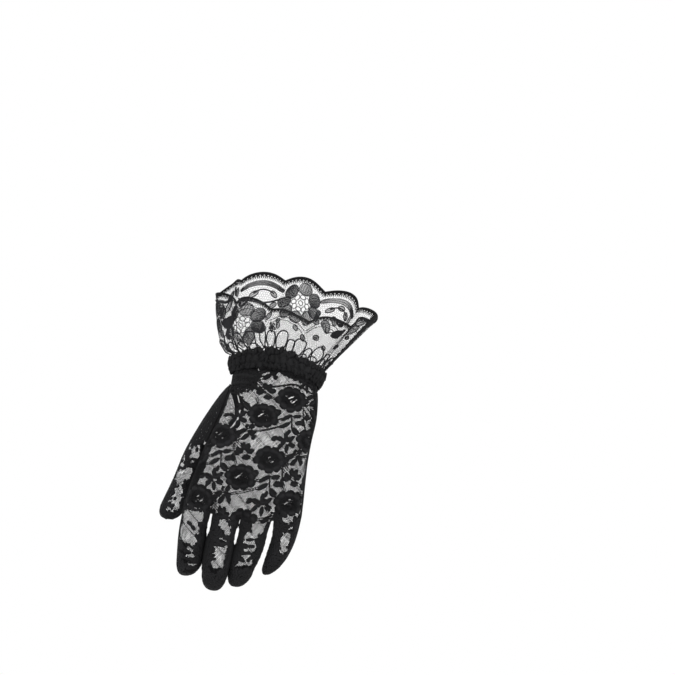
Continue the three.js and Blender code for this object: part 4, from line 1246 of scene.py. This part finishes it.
def makeBand():
    # A ring of upright gathers: radius = band + ridge |cos(phase/2)|^0.7, pinched along two stitch rows.
    turn = np.linspace(0, 2 * np.pi, band["around"], endpoint=False)[:, None]
    t = np.linspace(-0.5, 0.5, band["up"])[None]
    phase = band["pleats"] * turn + 1.6 * np.sin(5 * turn + 1) + 0.9 * np.sin(11 * turn + 2)
    phase = phase + 0.9 * np.sin(4 * t + 3 * turn) + 0.5 * np.sin(17 * turn + 9 * t)
    ridge = np.abs(np.cos(phase / 2)) ** 0.7 - 0.6
    pinch = sum(np.exp(-(((t - level) / band["pinchSpread"]) ** 2)) for level in band["stitchLevels"])
    out = band["thick"] / 2 + band["pleatDepth"] * ridge * (1 - 0.5 * pinch) - band["pinch"] * pinch
    out = out + 0.25 * np.sin(7 * turn + 5 * t) - 0.5 * np.abs(2 * t) ** 3 - bandTaper(turn, t)
    back = -band["thick"] / 2 + 0.25 * np.cos(phase) - bandTaper(turn, t)
    ragged = 0.6 * np.sin(23 * turn + 1) + 0.5 * np.sin(41 * turn) + 0.4 * np.sin(67 * turn + 2)
    level = bandLevel(turn, t) + ragged * (np.abs(t) > 0.4)
    outer, inner = (
        ringPlace(turn + 0 * t, band["halfWidth"] + far, band["halfDepth"] + far, level)
        for far in (out, back)
    )
    points = np.concatenate([outer, inner[:, ::-1]], axis=1)
    quads = gridFaces(band["around"], 2 * band["up"], closedRows=True, closedColumns=True)
    uv = np.broadcast_arrays(turn * band["uvScale"], np.concatenate([t, t], 1) * band["height"])
    part = points.reshape(-1, 3), quads, np.stack(uv, -1).reshape(-1, 2)
    piece = addMesh("gathered_band", [part], finishes["band"])
    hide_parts("wrist_band")


def placeBand(u, v, middle=None):
    # Flat places round the band: u round it in millimetres from the front, v up from its middle.
    turn = u * 2 * np.pi / band["girth"]
    lean = np.maximum(v - band["leanFrom"], 0) * band["lean"]
    out = band["thick"] / 2 + band["frillLift"] + lean - bandTaper(turn, v / band["height"])
    level = bandLevel(turn, v / band["height"])
    point = ringPlace(turn, band["halfWidth"] + out, band["halfDepth"] + out, level)
    return point, unit(stack(np.sin(turn), -np.cos(turn), 0.15)), np.ones_like(turn)


def makeTufts():
    # Ends of the gathered lace that stand up from the top of the band, hang from its lower edge and
    # lie over its face: rounded tufts of uneven size.
    rng, scatter = np.random.default_rng(band["seed"]), band["scatter"]
    rows = []
    for where, count, level, spread, length, width, turn in tuftRows:
        u = (np.arange(count) + rng.uniform(-scatter, scatter, count)) * band["girth"] / count
        turns = u * 2 * np.pi / band["girth"]
        front = beside(turns, *band["tallTufts"]) * (where == "top")
        for k in range(count):
            if where == "edge" and abs(math.sin(turns[k])) > band["bareSides"]:
                continue
            tall = length * rng.uniform(0.6, 1.25) * (1 + 0.5 * front[k])
            lie = level + rng.uniform(-spread, spread) + 1.5 * front[k]
            lean, wide = 90 + rng.uniform(-turn, turn), width * rng.uniform(0.7, 1.3)
            rows.append(leafRow(u[k], lie, lean, tall, wide, 25, 0.4, 0.8))
    piece = addMesh("band_frill", [leaves(placeBand, np.array(rows), 5)], finishes["band"])


makeBand()
makeTufts()
print("band made")

# The flared cuff of wider lace

cuff = {
    "bottomWidth": 32.2, "bottomDepth": 21.9, "topWidth": 55.5, "topDepth": 42, "across": 4.2, "deep": 3,
    "held": 0.16, "scallops": 10, "scallopHeight": 5, "scallopMiddle": 0.7, "waves": 8, "waveStart": -1.6,
    "waveDepth": 3.4, "firstDip": -0.2, "scallopLength": 32.0, "depth": 57.0, "pitch": 1.75, "thread": 0.088,
    "outline": 0.3, "ovalOutline": 1.9, "lift": 0.08, "margin": 0.95, "netFrom": 1.6, "netKeptFrom": 2.2,
    "ribGap": 0.45, "rib": 0.2, "sides": [(-78, -36), (40, 80)], "openGap": 0.56, "openRibs": 3,
    "smallShape": 7.2, "gathersFrom": 26, "gathersOver": 24, "edgeStep": 1.28, "seamAt": 84, "seamWide": 5.4,
    "seamEnds": (0.6, 56), "seamThick": 0.5, "rimSteps": 480, "rimCords": ((0.4, 0.62), (2.6, 0.28)),
}
cuffGirth = cuff["scallops"] * cuff["scallopLength"]
rimRows = table(
    "at level", (-180, 51), (-150, 55), (-120, 51.5), (-90, 49.5), (-55, 57.5), (-28, 64), (5, 64.6),
    (32, 62.5), (75, 57), (180, 51),
)


def stripTurn(strip):
    # Turn round the rim's ellipse at which a share of its length, as an angle, is reached.
    fine = np.linspace(0, 2 * np.pi, 2881) + cuff["firstDip"]
    middle = (fine[1:] + fine[:-1]) / 2
    length = runningSum(np.hypot(cuff["topWidth"] * np.cos(middle), cuff["topDepth"] * np.sin(middle)), 0)
    share = strip / (2 * np.pi)
    whole = np.floor(share)
    return np.interp(share - whole, length / length[-1], fine) + whole * 2 * np.pi


def cuffPoint(height, strip):
    # Flare: ellipses that open upwards by free height to a power, with waves, to a scalloped rim.
    turn = stripTurn(strip)
    free = np.maximum(height - cuff["held"], 0) / (1 - cuff["held"])
    share = free ** (0.68 + 0.32 * np.sin(turn))
    wave = cuff["waveDepth"] * np.cos(cuff["waves"] * strip + cuff["waveStart"]) * free
    halfWidth = mix(cuff["bottomWidth"], cuff["topWidth"], share) + wave
    halfDepth = mix(cuff["bottomDepth"], cuff["topDepth"], share) + wave
    scallop = np.abs(np.sin(cuff["scallops"] * strip / 2)) - cuff["scallopMiddle"]
    degrees = np.degrees(np.arctan2(np.sin(turn), np.cos(turn)))
    rim = readTable(rimRows, "level", degrees) + cuff["scallopHeight"] * scallop
    point = ringPlace(turn, halfWidth, halfDepth, 0)
    point[..., 0] += cuff["across"] * height
    point[..., 1] += cuff["deep"] * height
    point[..., 2] = mix(point[..., 2], rim, height)
    return point


def placeCuff(u, v, middle=None):
    # Flat cloth of the cuff: u along the strip, v down from the rim; gathers deepen towards the band.
    u, v = np.broadcast_arrays(np.asarray(u, float), np.asarray(v, float))
    strip, height, small = 2 * np.pi * u / cuffGirth, np.clip(1 - v / cuff["depth"], 0, 1), 1e-3
    alongStrip = cuffPoint(height, strip + small) - cuffPoint(height, strip - small)
    up = cuffPoint(np.minimum(height + small, 1), strip) - cuffPoint(np.maximum(height - small, 0), strip)
    outward = unit(np.cross(alongStrip, up))
    gather = np.clip((v - cuff["gathersFrom"]) / cuff["gathersOver"], 0, 1) ** 1.5
    folds = 0.9 * np.sin(2 * np.pi * u / 6.4 + 1.3 * np.sin(2 * np.pi * u / 47))
    folds = folds + 0.4 * np.sin(2 * np.pi * u / 3.9 + 2)
    point = cuffPoint(height, strip) + outward * (wall["lift"] + gather * folds)[..., None]
    return point, outward, ((v >= -0.5) & (v <= cuff["depth"])).astype(float)


# Rings of a cuff flower, as shares of its own size: distance from its middle, length, width, and bend.
flowerRings = {"petals": (0.98, 0.78, 0.76, 8), "cells": (0.42, 0.27, 0.31, 0), "count": 8, "middle": 0.27}


def flowerRows(u, v, wide, tall, first):
    # Cuff flower: egg-shaped petals on an ellipse round a ring of open cells, and one cell within.
    petals, cells = [], []
    for k in range(flowerRings["count"]):
        a = math.radians(first + 360 / flowerRings["count"] * k)
        outU, outV = wide * math.cos(a), tall * math.sin(a)
        side, reach = math.hypot(wide * math.sin(a), tall * math.cos(a)), math.hypot(outU, outV)
        turn = math.degrees(math.atan2(outV, outU))
        for rows, (out, length, width, bend) in (
            (petals, flowerRings["petals"]), (cells, flowerRings["cells"]),
        ):
            place = u + out * outU, v + out * outV
            rows.append(leafRow(*place, turn, length * reach, width * side, bend, 0.5))
    cells.append(leafRow(u, v, 30, flowerRings["middle"] * wide, flowerRings["middle"] * tall, 0, 0.5))
    return petals, cells


def outlineSegments(rows, steps=22):
    # Threads round each leaf: out along one edge and back along the other.
    angle = np.linspace(0, 2 * np.pi, steps + 1)[None]
    t = np.sign(np.sin(angle))
    t[:, [0, steps // 2, steps]] = 0
    line = np.stack(leafPlaces(rows, np.cos(angle), t), -1)
    return np.stack([line[:, :-1], line[:, 1:]], 2).reshape(-1, 2, 2)


def ribSegments(rows, gap, lengthways=5):
    # Ribs across each leaf at an even distance, and a few threads along it.
    segments = []
    for row in rows:
        s = np.linspace(-0.96, 0.96, max(int(row[3] / gap), 3))[None]
        one, middle, two = (np.stack(leafPlaces([row], s, t), -1)[0] for t in (-1, 0, 1))
        segments.extend([np.stack([one, middle], 1), np.stack([middle, two], 1)])
        s = np.linspace(-0.97, 0.97, 7)[None]
        for t in np.linspace(-0.75, 0.75, lengthways):
            segments.append(links(np.stack(leafPlaces([row], s, t), -1)[0]))
    return np.concatenate(segments)


# Filled shapes, lines and flowers of each kind of scallop, from its left dip. A shape is place, turn,
# length, width, bend and at times how blunt it is; a line is its thickness and places; a flower is
# place, half-sizes, first turn.
archBase = [(16.4, 7.2, 0, 34, 3.6, 10, 0.25), (9.5, 14.4, -20, 6.4, 3.6, 10), (24.5, 13.2, 15, 6.4, 3.8, 10)]
archLine = (2.0, [(9.5, 13.6), (13, 12), (16, 11.6), (20, 11.8), (24, 12.8)])
sideBase = [(13.5, 17, -40, 10, 6.2, 10), (15.5, 10.5, -40, 8, 5.2, 0)]
scallopKinds = {
    "flower": ([(19, 33.5, 20, 5.5, 3.2, 10), (29.5, 37, 20, 6, 3.6, 10), (2, 33, 70, 5, 3, 10)], [], [
        (16.5, 17.2, 14.2, 9.8, 4),
    ]),
    "bow": (archBase + [
        (17.5, 20.5, 30, 8, 3.8, 12), (24.5, 18.8, -15, 8, 3.6, 0), (13.5, 25.5, 32, 12.5, 5.2, 14),
        (30, 23.6, -34, 17.5, 5.4, -10), (3.5, 23.5, 20, 5.5, 3.2, 10), (10.5, 34.5, 10, 6.5, 3.6, 10),
        (30.4, 11.5, 70, 6, 3.4, 0), (25, 37.5, 0, 7, 2.6, 10), (17, 11.3, 0, 6, 3.2, 0),
    ], [archLine, (1.5, [(14, 27), (16.5, 29.5), (21, 27.5), (28, 23.5)])], []),
    "sprig": (archBase + [
        (25.5, 20.5, -40, 7, 3.4, 10), (23.5, 28.5, -50, 7, 3, 10), (33, 29.5, 0, 4, 3, 0),
        (2, 17.5, -10, 8, 5.5, 10), (-9, 8.5, 70, 7, 3.4, 0), (-4.5, 9.5, 110, 7, 3.4, 0),
        (20, 38, -35, 6, 3.2, 0),
    ], [
        archLine, (2.4, [(-2.5, 14), (4, 16.6), (10, 19.5), (16, 21), (23, 19), (29, 15.5)]),
    ], [(-0.5, 33, 17, 10, 20)]),
    "seam": (sideBase + [(14, 23, 0, 4.4, 2.8, 0), (9, 31.5, -20, 6, 3.4, 0)], [], []),
    "side": (sideBase + [
        (6.5, 19, 70, 11, 6, 10), (10.5, 29, 45, 10, 6, 10), (0, 13, 92, 12, 7, 0), (0.5, 27, 86, 12, 6.6, 0),
        (-13, 13, 95, 12, 8, 0), (-12, 26, 88, 12, 7, 0), (5, 35, 70, 6, 4, 0),
    ], [(4.0, [(-1, 5), (4, 8.5), (8, 12), (12, 12.5), (15, 11)])], []),
    "plain": ([], [
        (1.0, [(1, 11.5), (8, 7.8), (16, 6.6), (24, 7.8), (31, 11.5)]),
        (1.0, [(2, 14.5), (9, 11), (16, 9.9), (24, 11), (30, 14.5)]),
    ], []),
}
scallopOrder = ("flower", "bow", "seam", "plain", "plain", "plain", "plain", "plain", "side", "sprig")
smallFlower = {"petals": (5, 1.8, 3.4, 1.9, 10), "place": (28.5, 35)}
# Ovals in the gathers above the band: place, length, width, from the front to the seam and round the rear.
ovalRows = [
    (-12, 43, 11, 6), (-3, 43.5, 12, 9.6), (9, 43.5, 13, 12), (20.5, 46, 9, 9), (31, 44, 11.5, 14),
    (43.5, 46.5, 8, 9), (56.5, 43.5, 11.5, 14), (70.5, 43, 10, 11),
] + [(83 + 13.2 * k, 43.5 + 0.7 * math.sin(1.7 * k), 10.5, 11.8) for k in range(17)]


def cuffPattern():
    filled, cells, lines = [], [], []
    for k, kind in enumerate(scallopOrder):
        start = k * cuff["scallopLength"]
        shapes, curves, flowers = scallopKinds[kind]
        filled += [leafRow(row[0] + start, *row[1:]) for row in shapes]
        lines += [(thick, [(u + start, v) for u, v in line]) for thick, line in curves]
        for u, v, *size in flowers:
            petals, holes = flowerRows(u + start, v, *size)
            filled += petals
            cells += holes
        if kind == "sprig":
            u, v = smallFlower["place"]
            filled += list(moved(sprigRows(*smallFlower["petals"]), u + start, v))
    ovals = leafRows((u, v, 90, tall, wide, 0, 0.42) for u, v, tall, wide in ovalRows)
    return np.array(filled), np.array(cells), ovals, lines


def makeCuffLace():
    filled, cells, ovals, lines = cuffPattern()
    net = stretched(honeycomb(0, cuffGirth, cuff["netFrom"], cuff["depth"], cuff["pitch"]))
    net = net[(net[..., 1] > cuff["netKeptFrom"]).all(1) & (net[..., 1] < cuff["depth"]).all(1)]
    net = clearOf(np.concatenate([filled, cells]), cuff["margin"], net)
    # Ribs are set further apart in small shapes and at the two sides.
    along = (filled[:, 0] + cuffGirth / 2) % cuffGirth - cuffGirth / 2
    openly = filled[:, 3] < cuff["smallShape"]
    for low, high in cuff["sides"]:
        openly |= (along > low) & (along < high)
    outline, lift = cuff["outline"], cuff["lift"]
    threads = [
        (net, cuff["thread"], 0), (outlineSegments(ovals, 20), outline * cuff["ovalOutline"], lift),
        (outlineSegments(filled), outline, lift), (outlineSegments(cells, 12), outline, lift),
        (ribSegments(filled[~openly], cuff["ribGap"]), cuff["rib"], 0),
        (ribSegments(filled[openly], cuff["openGap"], cuff["openRibs"]), cuff["rib"], 0),
    ]
    threads += [(vineSegments([line], 1.0), outline * thick, lift) for thick, line in lines]
    lace = addMesh("cuff_lace", [layThreads(placeCuff, *some) for some in threads], finishes["cuff"])
    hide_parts("ruffle")
    return lace


def makeCuffEdge():
    # The rim has two cords, slanting stitches between them, picots outside and a fringe inside.
    steps = int(cuffGirth / cuff["edgeStep"])
    u = np.arange(steps) * cuffGirth / steps
    edge = [(x, 1.4, 38 if k % 2 else -38, 2.9, 1.5, 0, 0.5, 0.35) for k, x in enumerate(u)]
    picots = [(x, -0.1, 90, 1.9, 1.3, 0, 0.5, 0.3) for x in u[::2]]
    fringe = [(x, 3.4, 90, 1.7, 0.8, 0, 0.5, 0.2) for x in u + 0.4]
    parts = [leaves(placeCuff, leafRows(edge + picots + fringe), handLace["denseSteps"])]
    around = np.linspace(0, cuffGirth, cuff["rimSteps"], endpoint=False)
    for level, radius in cuff["rimCords"]:
        point, outward, _ = placeCuff(around, np.full_like(around, level))
        parts.append(cord(point, outward, radius, 4, closed=True))
    return addMesh("cuff_edge", parts, finishes["strip"])


def makeCuffSeam():
    # The strip's ends are sewn together in a narrow, uneven dark seam.
    t, v = np.meshgrid(np.linspace(0, 1, 7), np.arange(*cuff["seamEnds"], 0.8))
    u = cuff["seamAt"] + cuff["seamWide"] * t + 0.5 * np.sin(1.7 * v) * (2 * t - 1) + 0.3 * np.sin(3.7 * v)
    point, outward, _ = placeCuff(u, v)
    return addMesh("cuff_seam", [slab(point + outward * 0.3, outward, cuff["seamThick"])], finishes["strip"])


cuffLace = makeCuffLace()
for trim in (makeCuffEdge(), makeCuffSeam()):
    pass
print("cuff made")

# Camera, light and floor: the view of the photograph, from a little below the hand

view = {"turn": 12, "tilt": -8, "aside": 43.9, "up": 26.1, "distance": 1900, "field": 482, "sensor": 36}
floor = {"half": 6.0, "level": -0.62, "color": (0.85, 0.85, 0.85, 1), "roughness": 0.8}


def addHolder(name, data, right, up, back, place):
    # An object turned so that it looks against back, linked into the scene.
    holder = bpy.data.objects.new(name, data)
    matrix = np.eye(4)
    matrix[:3, 0], matrix[:3, 1], matrix[:3, 2], matrix[:3, 3] = right, up, back, place
    holder.matrix_world = Matrix(matrix.tolist())
    bpy.context.scene.collection.objects.link(holder)
    return holder


def aimCamera():
    turn, tilt = math.radians(view["turn"]), math.radians(view["tilt"])
    right, up = np.array([1.0, 0, 0]), np.array([0, math.sin(tilt), math.cos(tilt)])
    forward = np.array([0, math.cos(tilt), -math.sin(tilt)])
    right, up = math.cos(turn) * right + math.sin(turn) * up, -math.sin(turn) * right + math.cos(turn) * up
    place = (right * view["aside"] + up * view["up"] - forward * view["distance"]) / 1000
    camera = bpy.data.cameras.new("camera")
    camera.sensor_width = view["sensor"]
    camera.lens = view["sensor"] * view["distance"] / view["field"]
    camera.clip_end = 50
    bpy.context.scene.camera = addHolder("camera", camera, right, up, -forward, place)


def addLight(name, place, target, size, power):
    light = bpy.data.lights.new(name, "AREA")
    light.size, light.energy = size, power
    back = unit(np.array(place, float) - np.array(target, float))
    side = unit(np.cross([0, 0, 1.0], back))
    addHolder(name, light, side, np.cross(back, side), back, place)


def addFloor():
    mesh, half, level = bpy.data.meshes.new("floor"), floor["half"], floor["level"]
    corners = [(x * half, y * half, level) for x, y in ((-1, -1), (1, -1), (1, 1), (-1, 1))]
    mesh.from_pydata(corners, [], [(0, 1, 2, 3)])
    piece = bpy.data.objects.new("floor", mesh)
    finish = bpy.data.materials.new("floorPaint")
    finish.use_nodes = True
    shader = finish.node_tree.nodes["Principled BSDF"]
    shader.inputs["Base Color"].default_value = floor["color"]
    shader.inputs["Roughness"].default_value = floor["roughness"]
    mesh.materials.append(finish)
    bpy.context.scene.collection.objects.link(piece)


aimCamera()
addFloor()
addLight("key", (-0.9, -1.6, 1.1), (0, 0, -0.05), 1.2, 26)
addLight("fill", (1.3, -1.3, 0.4), (0, 0, -0.05), 1.4, 12)
world = bpy.data.worlds.new("studio")
world.use_nodes = True
world.node_tree.nodes["Background"].inputs["Color"].default_value = (1, 1, 1, 1)
world.node_tree.nodes["Background"].inputs["Strength"].default_value = 1.0
bpy.context.scene.world = world
bpy.context.scene.view_settings.view_transform = "Standard"
